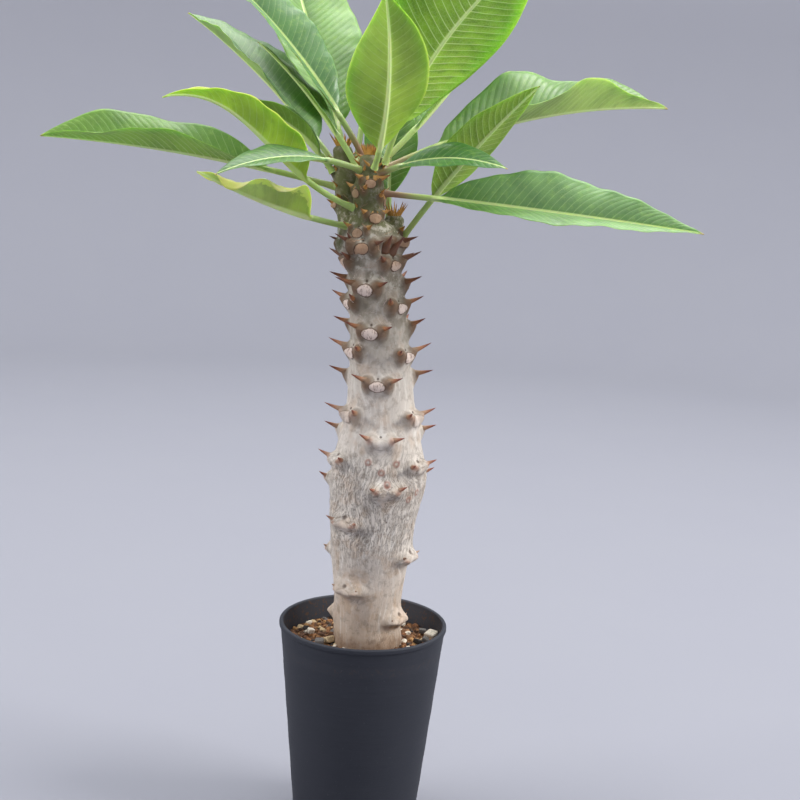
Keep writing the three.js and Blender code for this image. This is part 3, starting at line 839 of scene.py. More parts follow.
def notable_grains():
    """The larger pale and grey lumps, each a block with broken faces."""
    pieces = []
    for x, y, size, tone, seed in NOTABLE_GRAINS:
        corners = np.array(list(itertools.product((-0.5, 0.5), repeat=3)))
        shape = corners * size * np.array([1, 0.85 + 0.3 * draw(seed, 1), 0.7])
        shape += 0.13 * size * noise(corners * 3.1 + seed, seed)[:, None] * np.sign(corners)
        turn = Matrix.Rotation(draw(seed, 2) * 3, 3, "Z") @ Matrix.Rotation(draw(seed, 3) - 0.5, 3, "X")
        placed = shape @ np.array(turn).T + (x, y, SOIL_TOP + 0.1)
        faces = [(0, 1, 3, 2), (4, 6, 7, 5), (0, 4, 5, 1), (2, 3, 7, 6), (0, 2, 6, 4), (1, 5, 7, 3)]
        lump = mesh_object("lump", placed, faces)
        rounded = lump.modifiers.new("Edges", "BEVEL")
        rounded.width = 0.16 * size * MM
        rounded.segments = 2
        settled(lump)
        set_attribute(lump, "grain", "FLOAT", np.full(len(lump.data.vertices), tone))
        pieces.append(lump)
    return pieces


class PLANT_OT_add_grit(bpy.types.Operator):
    """Fills the pot with a bed of grit and scatters loose granules over it"""

    bl_idname = "plant.add_grit"
    bl_label = "Grit"

    def execute(self, context):
        settings = context.scene.plant_grit
        material = grit_finish("grit_granules", False)
        tree = scatter_tree(material)
        layers = notable_grains()
        for k, size in enumerate((settings.coarse, settings.fine)):
            layer = mesh_object(f"grit_layer_{k}", *grit_bed())
            sizes = {"Grain": size, "Spacing": size * 0.72, "Seed": settings.seed + 10 * k,
                     "Sink": (0.1 + 0.5 * k) * MM, "Reach": (pot_wall(SOIL_TOP) - 1.5) * MM - 0.55 * size}
            layers.append(grow(layer, tree, sizes))
        finished(joined(layers, "grit_granules"), material, "grit", "soil")
        bed = mesh_object("grit_bed", *grit_bed())
        bed.data.shade_smooth()
        finished(bed, grit_finish("grit_crumbs", True), "grit", "soil")
        return {"FINISHED"}


# Bark


def tube(rings):
    """Points and faces of a closed tube through rings of equal length."""
    sides = len(rings[0])
    points = [p for ring in rings for p in ring]
    faces = []
    for i in range(len(rings) - 1):
        for j in range(sides):
            a, b = i * sides + j, i * sides + (j + 1) % sides
            faces.append((a, b, b + sides, a + sides))
    faces.append(tuple(range(sides - 1, -1, -1)))
    faces.append(tuple(range((len(rings) - 1) * sides, len(rings) * sides)))
    return points, faces


def stem_rings(name, low, high, rows, crown):
    """Round rings up a stem, closed by a low dome."""
    heights = np.linspace(low, high, rows)
    domes = np.radians(np.linspace(0, 88, 9)[1:])
    rings = []
    levels = [(z, 1, 0) for z in heights] + [(high, math.cos(a), crown * math.sin(a)) for a in domes]
    for z, shrink, rise in levels:
        x, y, radius = stem_at(name, z)
        angles = np.linspace(0, 2 * math.pi, 64, endpoint=False)
        reach = radius * shrink
        rings.append(np.stack([x + reach * np.cos(angles), y + reach * np.sin(angles),
                               np.full(64, z + rise)], -1).tolist())
    return rings


def scar_places(co):
    """For each scar its place across and up in millimetres at every point, and how near it is."""
    for number, (stem, z, bearing) in enumerate(SCARS):
        x, y, radius = stem_at(stem, z)
        out = outward(bearing)
        side = sideways(out)
        offset = co - np.array([x, y, z], float)
        depth, level = offset @ out, offset @ side
        across = np.arctan2(level, depth) * radius
        up = offset[:, 2]
        near = (depth > 0.2 * radius) & (np.abs(up) < 14) & (depth < radius + 5)
        near &= np.hypot(depth, level) > radius * 0.6
        yield number, stem, z, across, up, near


def scar_disc(number, stem, z):
    """Half width and half height of a leaf scar, which widens as the trunk thickens."""
    age = 1 - smooth(170, 285, z)
    vary = 0.86 + 0.28 * draw(number, 11)
    if stem != "trunk":
        return 2.2 * vary, 2.0 * vary
    return mix(2.5, 3.3, age**2) * vary, mix(2.5, 2.3, age) * vary


def cushion_ridge(beside, above, size, grown):
    """Share of a spine's cushion at places beside and above its middle, drawn out down the stem."""
    scale = 1 if grown else 0.62
    spread = np.where(beside > 0, mix(6.0, 4.0, size), mix(4.6, 3.8, size)) * scale
    reach = np.where(above < 0, mix(3.0, 7.4, size), mix(4.2, 3.2, size)) * scale
    return np.clip(1 - np.hypot(beside / spread, above / reach), 0, 1)


def bark_relief(co):
    """How far the bark stands out at each point, and what colours it there."""
    lift = np.zeros(len(co))
    flare = np.zeros(len(co))
    nearest = np.full(len(co), 1e9)
    local = np.tile((9.0, 9.0, 0.0), (len(co), 1))
    for number, stem, z, across, up, near in scar_places(co):
        grown = stem == "trunk"
        size = smooth(*SPINE_ENDS, z)
        wide, tall = scar_disc(number, stem, z)
        distance = np.hypot(across / wide, up / tall)
        podium = (mix(1.1, 1.7, size) if grown else 0.8) * np.exp(-(across**2 * 0.5 + up**2) / 14)
        table = (0.6 if grown else 0.45) * smooth(1.3, 0.9, distance)
        ring = -0.3 * np.exp(-(((distance - 1.12) / 0.09) ** 2))
        cracks = 0.14 * noise(np.stack([across * 1.7, up * 0.8, np.full(len(co), number)], -1), 7)
        add = podium + table + ring + cracks * smooth(1, 0.8, distance)
        add -= 0.5 * np.exp(-(across**2 + (up - tall - 1.1) ** 2) / 0.5)
        brow = np.exp(-((across / 8.0) ** 2)) * smooth(-3.4, 0.6, up) * smooth(8, 0.6, up)
        add += 1.7 * (1 - size) * brow * grown
        aside = SPINE["aside"] * (1 if grown else SHOOT_SPINE["aside"])
        for flank in (-1, 1):
            beside = across * flank - aside
            above = up - SPINE["above"] * mix(0.4, 1, size)
            ridge = cushion_ridge(beside, above, size, grown)
            add += mix(2.4, 3.7, size) * (1 if grown else 0.5) * ridge**1.25
            flare = np.maximum(flare, np.where(near, ridge**1.2 * mix(0.8, 1, size), 0))
        lift += np.where(near, add, 0)
        closer = near & (distance < nearest)
        nearest = np.where(closer, distance, nearest)
        shown = 0.1 + 0.9 * smooth(182, 201, z) if grown else 0.9
        spot = np.stack([across / wide, up / tall, np.full(len(co), shown)], -1)
        local = np.where(closer[:, None], spot, local)
    return lift, flare, local


def knot_relief(co):
    """Small ringed marks between the scars."""
    lift = np.zeros(len(co))
    mark = np.zeros(len(co))
    for z, bearing in KNOTS:
        spot = on_stem("trunk", z, bearing)
        distance = np.linalg.norm(co - spot, axis=1)
        lift += 0.7 * np.exp(-((distance / 1.5) ** 2)) - 0.7 * np.exp(-((distance / 0.55) ** 2))
        mark = np.maximum(mark, np.exp(-(((distance - 1.1) / 0.45) ** 2)))
    return lift, mark


def grain_flow(co):
    """Places on a plain upright cylinder, turned aside near the scars so that the grain runs round them."""
    x, y, radius = stem_at("trunk", np.clip(co[:, 2], 60, 267))
    bearing = np.arctan2(co[:, 1] - y, co[:, 0] - x)
    shift = np.zeros(len(co))
    for number, stem, z, across, up, near in scar_places(co):
        square = (across / 1.25) ** 2 + up**2
        push = across * FLOW_REACH**2 / np.maximum(square, FLOW_REACH**2) * np.exp(-square / 130)
        shift += np.where(near, push, 0)
    turned = bearing - shift / radius
    around = np.stack([np.cos(turned), np.sin(turned)], -1) * FLOW_RADIUS
    return np.concatenate([around, co[:, 2:]], -1)


def shoot_share(co):
    """How much of each point is young shoot, which starts where the trunk has thinned out."""
    x, y, radius = stem_at("trunk", co[:, 2])
    outside = smooth(0.4, 2.5, np.hypot(co[:, 0] - x, co[:, 1] - y) - radius)
    return np.maximum(smooth(264, 274, co[:, 2]), outside * smooth(258, 264, co[:, 2]))


def bark_wrinkles(co):
    """Fine upright wrinkles, deepest round the swelling, over a slow unevenness."""
    swelling = smooth(118, 140, co[:, 2]) * smooth(182, 166, co[:, 2])
    flow = grain_flow(co)
    bend = flow + 0.7 * noise(co / 3.5, 24)[:, None]
    fine = noise(bend / (1.3, 1.3, 6.5), 21)
    depth = 0.22 + 0.8 * swelling
    slow = noise(co / (8, 8, 12), 23)
    return (np.abs(fine) - 0.5) * depth, slow, flow


BARK_TONES = dict(
    ridge=linear(242, 238, 230), patch=linear(144, 130, 116), furrow=linear(136, 124, 108),
    # The first tone here, an olive-grey, is partly the bark's own colour at the top of the trunk and partly
    # painted shade under the crown.
    painted_shade_and_olive=linear(118, 108, 86), crust=linear(206, 200, 184), cleft=linear(96, 82, 68),
    # The first tone here is a darker grey-brown for a ring round the foot of each cushion.
    cushion_ring=linear(104, 88, 70), cushion=linear(110, 80, 54), nub=linear(158, 112, 88),
    dirt=linear(112, 82, 56), rim=linear(92, 64, 46), eye=linear(74, 54, 42), knot=linear(146, 88, 70),
)
PITH = linear(124, 96, 80)
FRESH_SCAR = linear(170, 132, 96)


def scar_face(make, settings, z):
    """Corky face of a leaf scar, which is tan while it is fresh."""
    pith = make.step(0.53, 0.62, make.grain(make.place, 1.3, 3, 0.6, stretch=(1, 1, 2.4)))
    face = make.blend(tuple(settings.scar), PITH, pith * 0.65)
    return make.blend(face, FRESH_SCAR, make.step(248, 262, z) * 0.85)


def bark_finish(settings):
    """Silvery bark with upright fissures, brown at the foot, green on the shoots, pale leaf scars."""
    make = Finish("bark")
    flare, shoot, knot = make.parts(make.attribute("relief"))
    scar_x, scar_y, shown = make.parts(make.attribute("scar"))
    _, _, z = make.parts(make.place)
    warp = make.vector("ADD", make.attribute("flow"), make.grain(make.place, 0.35, 2) * 1.2)
    streaks = make.grain(warp, 0.5, 4, 0.65, stretch=(1, 1, 9))
    hairs = make.grain(warp, 1.5, 3, 0.55, stretch=(1, 1, 7))
    cloud = make.grain(make.place, 0.13, 4, 0.6)
    patch = make.grain(make.place, 0.3, 4, 0.65)
    swelling = make.step(118, 140, z) * make.step(182, 165, z)
    cleft = make.step(0.06, 0.0, make.math("ABSOLUTE", hairs - 0.5))
    upper = make.step(176, 206, z)
    ragged = flare + 0.3 * (patch - 0.5)
    distance = make.vector("LENGTH", make.xyz(scar_x, scar_y), out="Value")
    wobble = distance + 0.3 * (make.grain(make.place, 0.9, 2) - 0.5)
    eye_place = make.vector("SUBTRACT", make.xyz(scar_x * 1.3, scar_y), (0, 1.45, 0))
    eye_size = 0.32 + 0.26 * make.step(185, 160, z)
    shares = {
        "ridge": make.step(0.5, 0.72, streaks) * 0.45,
        "patch": make.step(0.52, 0.34, patch) * 0.45,
        "furrow": make.step(0.46, 0.3, streaks) * (0.16 + 0.3 * swelling),
        # Partly the olive-grey of the upper bark and partly painted shade under the crown, growing darker
        # towards the top.
        "painted_shade_and_olive": make.step(190, 248, z) * (0.45 + 0.55 * make.step(0.6, 0.4, cloud)) * 0.85,
        "green": shoot * (0.55 + 0.45 * make.step(0.62, 0.45, patch)),
        "crust": make.step(0.5, 0.62, patch) * make.step(238, 250, z) * make.step(280, 268, z) * 0.7,
        "cleft": cleft * (0.06 + 0.5 * swelling),
        # A darker grey-brown ring round the foot of each cushion, strongest high on the trunk.
        "cushion_ring": make.step(0.02, 0.25, ragged) * make.step(0.7, 0.3, flare)
        * (0.26 * patch + 0.6 * upper * patch + 0.06),
        "cushion": make.step(0.12, 0.6, ragged) * upper * 0.85,
        "nub": make.step(0.38, 0.85, ragged) * make.step(96, 130, z) * (1 - upper) * 0.8,
        "dirt": make.step(95, 86, z + 8 * (patch - 0.5)) * 0.7,
        "scar": make.step(1.0, 0.9, wobble) * shown,
        "rim": make.step(0.88, 0.98, wobble) * make.step(1.2, 1.02, wobble)
        * (0.15 + 0.6 * shown + 0.2 * make.step(244, 256, z)),
        "eye": make.step(eye_size, 0.14, make.vector("LENGTH", eye_place, out="Value")) * 0.8,
        "knot": knot * 0.75,
    }
    tones = {**BARK_TONES, "green": tuple(settings.green), "scar": scar_face(make, settings, z)}
    brown = make.step(140, 92, z) * 0.75 + make.step(0.48, 0.66, cloud) * 0.6
    colour = make.blend(tuple(settings.silver), tuple(settings.tan), make.math("MINIMUM", brown, 1.0))
    colour = make.coats(colour, tones, shares)
    height = 0.35 * streaks + 0.3 * patch - 0.4 * cleft * (0.4 + 0.6 * swelling)
    return make.surface(Base_Color=colour, Roughness=0.6 + 0.25 * streaks,
                        Normal=make.bump(height, 0.45), Specular_IOR_Level=0.35)


class PLANT_OT_add_bark(bpy.types.Operator):
    """Grows the trunk and its shoots as one skin with scars, cushions and wrinkles"""

    bl_idname = "plant.add_bark"
    bl_label = "Bark"

    def execute(self, context):
        settings = context.scene.plant_bark
        high = TRUNK_PROFILE[-1, 0]
        stems = [mesh_object("stem", *tube(stem_rings("trunk", TRUNK_FOOT, high, 120, TRUNK_CROWN)))]
        for name, shoot in SHOOTS.items():
            rings = stem_rings(name, shoot["foot"][2], shoot["head"][2], 30, BUD)
            stems.append(mesh_object("stem", *tube(rings)))
        piece = joined(stems, "trunk_bark")
        skin = piece.modifiers.new("Skin", "REMESH")
        skin.mode = "VOXEL"
        skin.voxel_size = settings.cell
        skin.use_smooth_shade = True
        evened = piece.modifiers.new("Evened", "SMOOTH")
        evened.factor = 0.5
        evened.iterations = 8
        settled(piece)
        count = len(piece.data.vertices)
        co = np.empty(count * 3, np.float32)
        normals = np.empty(count * 3, np.float32)
        piece.data.vertices.foreach_get("co", co)
        piece.data.vertex_normals.foreach_get("vector", normals)
        co, normals = co.reshape(-1, 3).astype(float) / MM, normals.reshape(-1, 3).astype(float)
        lift, flare, local = bark_relief(co)
        knots, mark = knot_relief(co)
        fine, slow, flow = bark_wrinkles(co)
        wrinkle = settings.wrinkle / MM
        total = lift + knots + wrinkle * fine + 0.35 * slow
        total *= smooth(TRUNK_FOOT + 1, TRUNK_FOOT + 4, co[:, 2])
        piece.data.vertices.foreach_set("co", ((co + normals * total[:, None]) * MM).ravel())
        piece.data.update()
        set_attribute(piece, "relief", "FLOAT_VECTOR", np.stack([flare, shoot_share(co), mark], -1))
        set_attribute(piece, "scar", "FLOAT_VECTOR", local)
        set_attribute(piece, "flow", "FLOAT_VECTOR", flow)
        piece.data.shade_smooth()
        finished(piece, bark_finish(settings), "bark", "trunk")
        return {"FINISHED"}


# Spines


def spine_rows():
    """Root, direction, length, width and age of every spine."""
    rows = []
    for number, (stem, z, bearing) in enumerate(SCARS):
        grown = stem == "trunk"
        size = float(smooth(*SPINE_ENDS, z))
        length = mix(SPINE["shortest"], SPINE["longest"], size) * (1 if grown else SHOOT_SPINE["length"])
        length *= mix(0.55, 1, float(smooth(90, 135, z)))
        aside = SPINE["aside"] * (1 if grown else SHOOT_SPINE["aside"])
        level = z + SPINE["above"] * mix(0.4, 1, size)
        radius = float(stem_at(stem, z)[2])
        for flank in (-1, 1):
            turn = bearing + flank * math.degrees(aside / radius)
            out = outward(turn)
            side = sideways(out) * flank * SPINE["splay"]
            way = unit(out + side + (0, 0, SPINE["lift"] + 0.25 * (draw(number, flank + 8) - 0.5)))
            vary = 1 + SPINE["vary"] * (draw(number, flank + 5) - 0.5)
            root = on_stem(stem, level, turn, 0.9 if grown else 0.3)
            age = 1 - float(smooth(140, 250, z))
            age = age if grown else SHOOT_SPINE["age"]
            rows.append((root, way, length * vary, SHOOT_SPINE["width"], age))
    for shoot, (name, count, length, width) in enumerate(TUFTS):
        head, ring = np.array(SHOOTS[name]["head"], float), SHOOTS[name]["head_radius"] * TUFT["ring"]
        for k in range(count):
            out = outward((k + 0.5 * draw(shoot, k)) / count * 360)
            lean = TUFT["lean"] + TUFT["spread"] * draw(shoot + 3, k)
            vary = 1 + TUFT["vary"] * (draw(shoot + 9, k) - 0.5)
            root = head + out * ring + (0, 0, TUFT["above"])
            rows.append((root, unit(out * lean + (0, 0, 1)), length * vary, width, -1))
    for stem, z, bearing, length, width in CROWDED_SPINES:
        way = unit(outward(bearing) * 0.8 + (0, 0, 0.6))
        rows.append((on_stem(stem, z, bearing, 0.2), way, length, width, 0))
    for number, leaf in enumerate(LEAVES):
        radius = float(stem_at(leaf["stem"], leaf["height"])[2])
        for flank in (-1, 1):
            turn = leaf["bearing"] + flank * math.degrees(STALK_SPINE["aside"] / radius)
            out = outward(turn)
            side = sideways(out) * flank * STALK_SPINE["splay"]
            root = on_stem(leaf["stem"], leaf["height"] + STALK_SPINE["above"], turn, 0)
            length = STALK_SPINE["length"] + STALK_SPINE["vary"] * draw(number, flank + 2)
            way = unit(out + side + (0, 0, STALK_SPINE["lift"]))
            rows.append((root, way, length, STALK_SPINE["width"], STALK_SPINE["age"]))
    return rows


def spine_tree(material):
    """Stands a slim bent cone on each point, along the way that is stored there."""
    tree, build, given = geometry_tree("Spines", {
        "Sides": ("Int", 12), "Rings": ("Int", 9), "Bend": ("Float", 0.4), "Hollow": ("Float", 0.3),
    })
    cone = build.node("GeometryNodeMeshCone", None,
                      {"Vertices": given["Sides"], "Side Segments": given["Rings"], "Radius Top": 0.0,
                       "Radius Bottom": 1.0, "Depth": 1.0}, "Mesh")
    x, y, z = build.parts(build.node("GeometryNodeInputPosition"))
    slim = 1 - given["Hollow"] * build.math("SINE", build.math("MINIMUM", z, 1.0) * math.pi)
    bent = build.xyz(x * slim, y * slim + given["Bend"] * z * z, z)
    cone = build.node("GeometryNodeSetPosition", None, {"Geometry": cone, "Position": bent})
    cone = build.node("GeometryNodeStoreNamedAttribute", {"data_type": "FLOAT", "domain": "POINT"},
                      {"Geometry": cone, "Name": "along", "Value": z})
    cone = build.node("GeometryNodeSetShadeSmooth", None, {0: cone})
    way = build.node("GeometryNodeInputNamedAttribute", {"data_type": "FLOAT_VECTOR"}, {"Name": "way"})
    size = build.node("GeometryNodeInputNamedAttribute", {"data_type": "FLOAT_VECTOR"}, {"Name": "size"})
    aim = build.node("FunctionNodeAlignRotationToVector", {"axis": "Z"}, {"Vector": way})
    aim = build.node("FunctionNodeAlignRotationToVector", {"axis": "Y", "pivot_axis": "Z"},
                     {"Rotation": aim, "Vector": (0.0, 0.0, 1.0)})
    points = build.node("GeometryNodeMeshToPoints", None, {"Mesh": given["Geometry"]})
    spines = build.node("GeometryNodeInstanceOnPoints", None,
                        {"Points": points, "Instance": cone, "Rotation": aim, "Scale": size})
    end_tree(build, spines, material)
    return tree


SPINE_TONES = dict(
    # The first tone here is painted shade for the spines under the crown.
    dark=linear(92, 54, 36), pale=linear(172, 146, 122), fresh=linear(190, 140, 62), grain=linear(84, 50, 34),
)
SPINE_BARK = linear(132, 102, 70)
WORN_SPINE = (linear(172, 152, 134), linear(156, 92, 68))


def spine_finish(settings):
    """Spines that turn from bark at the root through amber to a dark red tip, with shade painted on those
    under the crown.
    """
    make = Finish("spine_horn")
    reach = make.attribute("along", "Fac")
    age = make.attribute("age", "Fac")
    streaks = make.grain(make.place, 1.4, 3)
    z = make.parts(make.place)[2]
    shares = {
        "tip": make.step(0.5, 0.9, reach),
        # Painted shade on the spines in the band under the crown.
        "dark": make.step(232, 262, z) * make.step(282, 268, z) * 0.75,
        "worn": make.math("MAXIMUM", age, 0.0) * 0.7,
        "pale": make.step(158, 132, z) * 0.85,
        "fresh": make.math("MAXIMUM", 0 - age, 0.0) * make.step(1.1, 0.6, reach),
        "grain": make.step(0.5, 0.75, streaks) * 0.35,
    }
    worn = make.blend(*WORN_SPINE, make.step(0.4, 0.8, reach))
    colour = make.blend(SPINE_BARK, tuple(settings.amber), make.step(0.3, 0.55, reach))
    colour = make.coats(colour, {**SPINE_TONES, "tip": tuple(settings.tip), "worn": worn}, shares)
    return make.surface(Base_Color=colour, Roughness=0.42 + 0.2 * streaks,
                        Normal=make.bump(make.grain(make.place, 3, 3), 0.12))


class PLANT_OT_add_spines(bpy.types.Operator):
    """Stands a pair of spines by every scar and leaf, and a tuft on every bud"""

    bl_idname = "plant.add_spines"
    bl_label = "Spines"

    def execute(self, context):
        settings = context.scene.plant_spines
        rows = spine_rows()
        roots = [root - way * SPINE["sunk"] for root, way, *_ in rows]
        piece = mesh_object("spines", roots, [])
        width = settings.root / MM
        sizes = [(width * w, width * w, length + SPINE["sunk"]) for _, _, length, w, _ in rows]
        set_attribute(piece, "way", "FLOAT_VECTOR", [way for _, way, *_ in rows])
        set_attribute(piece, "size", "FLOAT_VECTOR", np.array(sizes) * MM)
        set_attribute(piece, "age", "FLOAT", [row[4] for row in rows])
        material = spine_finish(settings)
        grow(piece, spine_tree(material), {"Bend": settings.bend})
        finished(piece, material, "bark", "trunk")
        return {"FINISHED"}


# Leaves


def leaf_frame(leaf, s):
    """Points of the rib at shares s of its chord, and the two ways that its blade is drawn in."""
    out = outward(leaf["heading"])
    side = sideways(out)
    chord = out * leaf["reach"] + (0, 0, leaf["rise"])
    slant = unit(chord) @ outward(leaf["bearing"])
    seat = SEAT + STALK_RADIUS * math.sqrt(1 - slant**2)
    start = on_stem(leaf["stem"], leaf["height"], leaf["bearing"], seat)
    climb = math.atan2(leaf["rise"], leaf["reach"])
    normal = out * -math.sin(climb) + (0, 0, math.cos(climb))
    arch, droop, sweep = leaf["arch"], leaf.get("droop", 0), leaf.get("sweep", 0)
    s = s[..., None]
    bow = 4 * s * (1 - s)
    point = start + chord * s + normal * (arch * bow + droop * (s - s**4)) + side * sweep * bow
    slope = 4 * (1 - 2 * s)
    ahead = chord + normal * (arch * slope + droop * (1 - 4 * s**3)) + side * sweep * slope
    ahead = unit(ahead)
    across = unit(np.cross((0, 0, 1), ahead))
    face = np.cross(ahead, across)
    roll = np.radians(leaf["roll"] + leaf.get("twist", 0) * s)
    return point, across * np.cos(roll) + face * np.sin(roll), face * np.cos(roll) - across * np.sin(roll)


def leaf_outline(u, full, point):
    """Share of the full width at a share of the blade's length."""
    u = np.clip(u, 0, 1)
    swell = np.sin(np.minimum(u / full, 1) * math.pi / 2) ** 0.85
    return swell * (1 - np.maximum((u - full) / (1 - full), 0) ** point)


def leaf_length(leaf):
    """Length of the rib with its stalk."""
    line = leaf_frame(leaf, np.linspace(0, 1, 25))[0]
    return float(np.linalg.norm(np.diff(line, axis=0), axis=1).sum())


def leaf_shell(top, bottom):
    """One closed skin from the two faces of a leaf, as grids of points of equal shape."""
    rows, columns = top.shape[:2]
    place = np.arange(rows * columns).reshape(rows, columns)
    under = place + rows * columns

    def quads(grid, flip=False):
        a, b, c, d = grid[:-1, :-1], grid[1:, :-1], grid[1:, 1:], grid[:-1, 1:]
        ring = [a, d, c, b] if flip else [a, b, c, d]
        return np.stack(ring, -1).reshape(-1, 4)

    left = np.stack([under[:, 0], place[:, 0]], 1)
    right = np.stack([place[:, -1], under[:, -1]], 1)
    foot = np.stack([place[0], under[0]], 0)
    head = np.stack([under[-1], place[-1]], 0)
    faces = [quads(place), quads(under, True), quads(left), quads(right), quads(foot), quads(head)]
    return np.concatenate([top.reshape(-1, 3), bottom.reshape(-1, 3)]), np.concatenate(faces)


def leaf_surface(leaf, number, settings):
    """The two faces of a leaf as grids of points, with what its material reads at each of them."""
    length = leaf_length(leaf)
    stalk = leaf["stalk"] / length
    veins = max(round(length * (1 - stalk) / (settings.vein_gap / MM)), 8)
    t = np.concatenate([np.linspace(-1, 0, 13)[:-1], np.linspace(0, 1, 4 * veins + 1)])[:, None]
    side = np.linspace(0, 1, 21)[1:] ** 1.45
    v = np.concatenate([-side[::-1], [0], side])[None, :]
    width = np.abs(v)
    inner = np.clip(t, 0, 1)
    u = inner + 0.13 * width**1.2 * 4 * inner * (1 - inner)
    root = -1.4 / length
    s = np.where(t < 0, mix(stalk, root, -t), mix(stalk, 1, u)) + 0 * v
    u = u + 0 * v
    point, across, face = leaf_frame(leaf, s)
    blade = smooth(0, 0.07, u)
    stem = mix(STALK_RADIUS - 0.1, 0.1, smooth(0, 0.9, u)) * (1 + 0.35 * smooth(-0.75, -1, t))
    spread = leaf["width"] / 2 * leaf_outline(u, leaf["full"], leaf["point"])
    half = (spread**3 + stem**3) ** (1 / 3)
    flare = leaf.get("flare", 0) * width
    fold = np.radians(((leaf["fold"] + leaf.get("open", 0) * u) - flare) * blade)
    lateral = mix(stem * np.sin(v * math.pi / 2), v * half, blade)
    away = np.abs(lateral)
    swing, waves, start = leaf.get("wave", (0, 1, 0))
    swell = blade * np.sin(math.pi * u) ** 0.5
    ripple = swing * v**2 * swell * np.sin(2 * math.pi * (waves * u + start + np.where(v > 0, 0, 0.37)))
    stagger = draw(number, 1) + np.where(v > 0, 0, 0.3)
    ripple += 0.3 * v**4 * swell * np.sin(2 * math.pi * (waves * 3.1 * u + stagger))
    lay = np.stack([lateral, s * length, np.full(s.shape, number * 37.0)], -1)
    ripple += (0.8 * noise(lay / 17, 5) + 0.22 * noise(lay / 5, 6)) * swell * smooth(0.05, 0.8, width)
    phase = veins * inner + np.where(v < 0, 0.5, 0) + 0 * v
    quilt = leaf["quilt"] * (np.abs(np.sin(math.pi * phase)) ** 0.8 - 0.5)
    relief = quilt * blade * smooth(0.04, 0.22, width) * smooth(1.0, 0.8, width) * smooth(1, 0.93, u)
    curled = np.clip((width - 0.55) / 0.45, 0, 1) ** 2
    ripple -= leaf.get("curl", 0) * curled * swell * (0.75 + 0.5 * np.sin(2 * math.pi * (2.7 * u + 0.2)))
    bulge = 0.05 * half * np.sin(math.pi * width) * blade
    point = point + across * (lateral * np.cos(fold))[..., None]
    point = point + face * (away * np.sin(fold) + ripple + relief + bulge)[..., None]
    flank = np.clip(v * 6, -1, 1)
    normal = unit(face * np.cos(fold)[..., None] - across * (flank * np.sin(fold))[..., None])
    thin = settings.blade / MM
    sheet = mix(thin, 0.09, smooth(0.6, 1, width)) * mix(1, 0.5, u)
    rib = 0.5 + 0.5 * np.cos(math.pi * np.clip(away / mix(2.0, 0.7, u), 0, 1))
    round_stem = stem * np.cos(v * math.pi / 2) + 0.02
    above = mix(round_stem, sheet - 0.2 * np.exp(-((away / 0.7) ** 2)), blade)
    below = mix(round_stem, sheet + mix(1.35, 0.2, u**0.8) * rib, blade)
    stored = dict(lay=lay, vein=np.stack([phase, v + 0 * s, np.where(t < 0, t, u)], -1))
    return point + normal * above[..., None], point - normal * below[..., None], stored


LEAF_TONES = dict(
    # The first tone here is painted shade, laid on leaves that lie in the shade of others.
    painted_shade=linear(36, 70, 30), cloud=linear(40, 82, 34), fleck=linear(158, 190, 84),
    streak=linear(44, 92, 40), sun=linear(196, 204, 66), rim=linear(222, 234, 118),
    stalk=linear(140, 168, 82), blush=linear(138, 84, 72), dry=linear(178, 146, 92),
)
MILKY = (linear(170, 202, 150), linear(198, 212, 128))
UPPER_VEIN = linear(142, 184, 112)


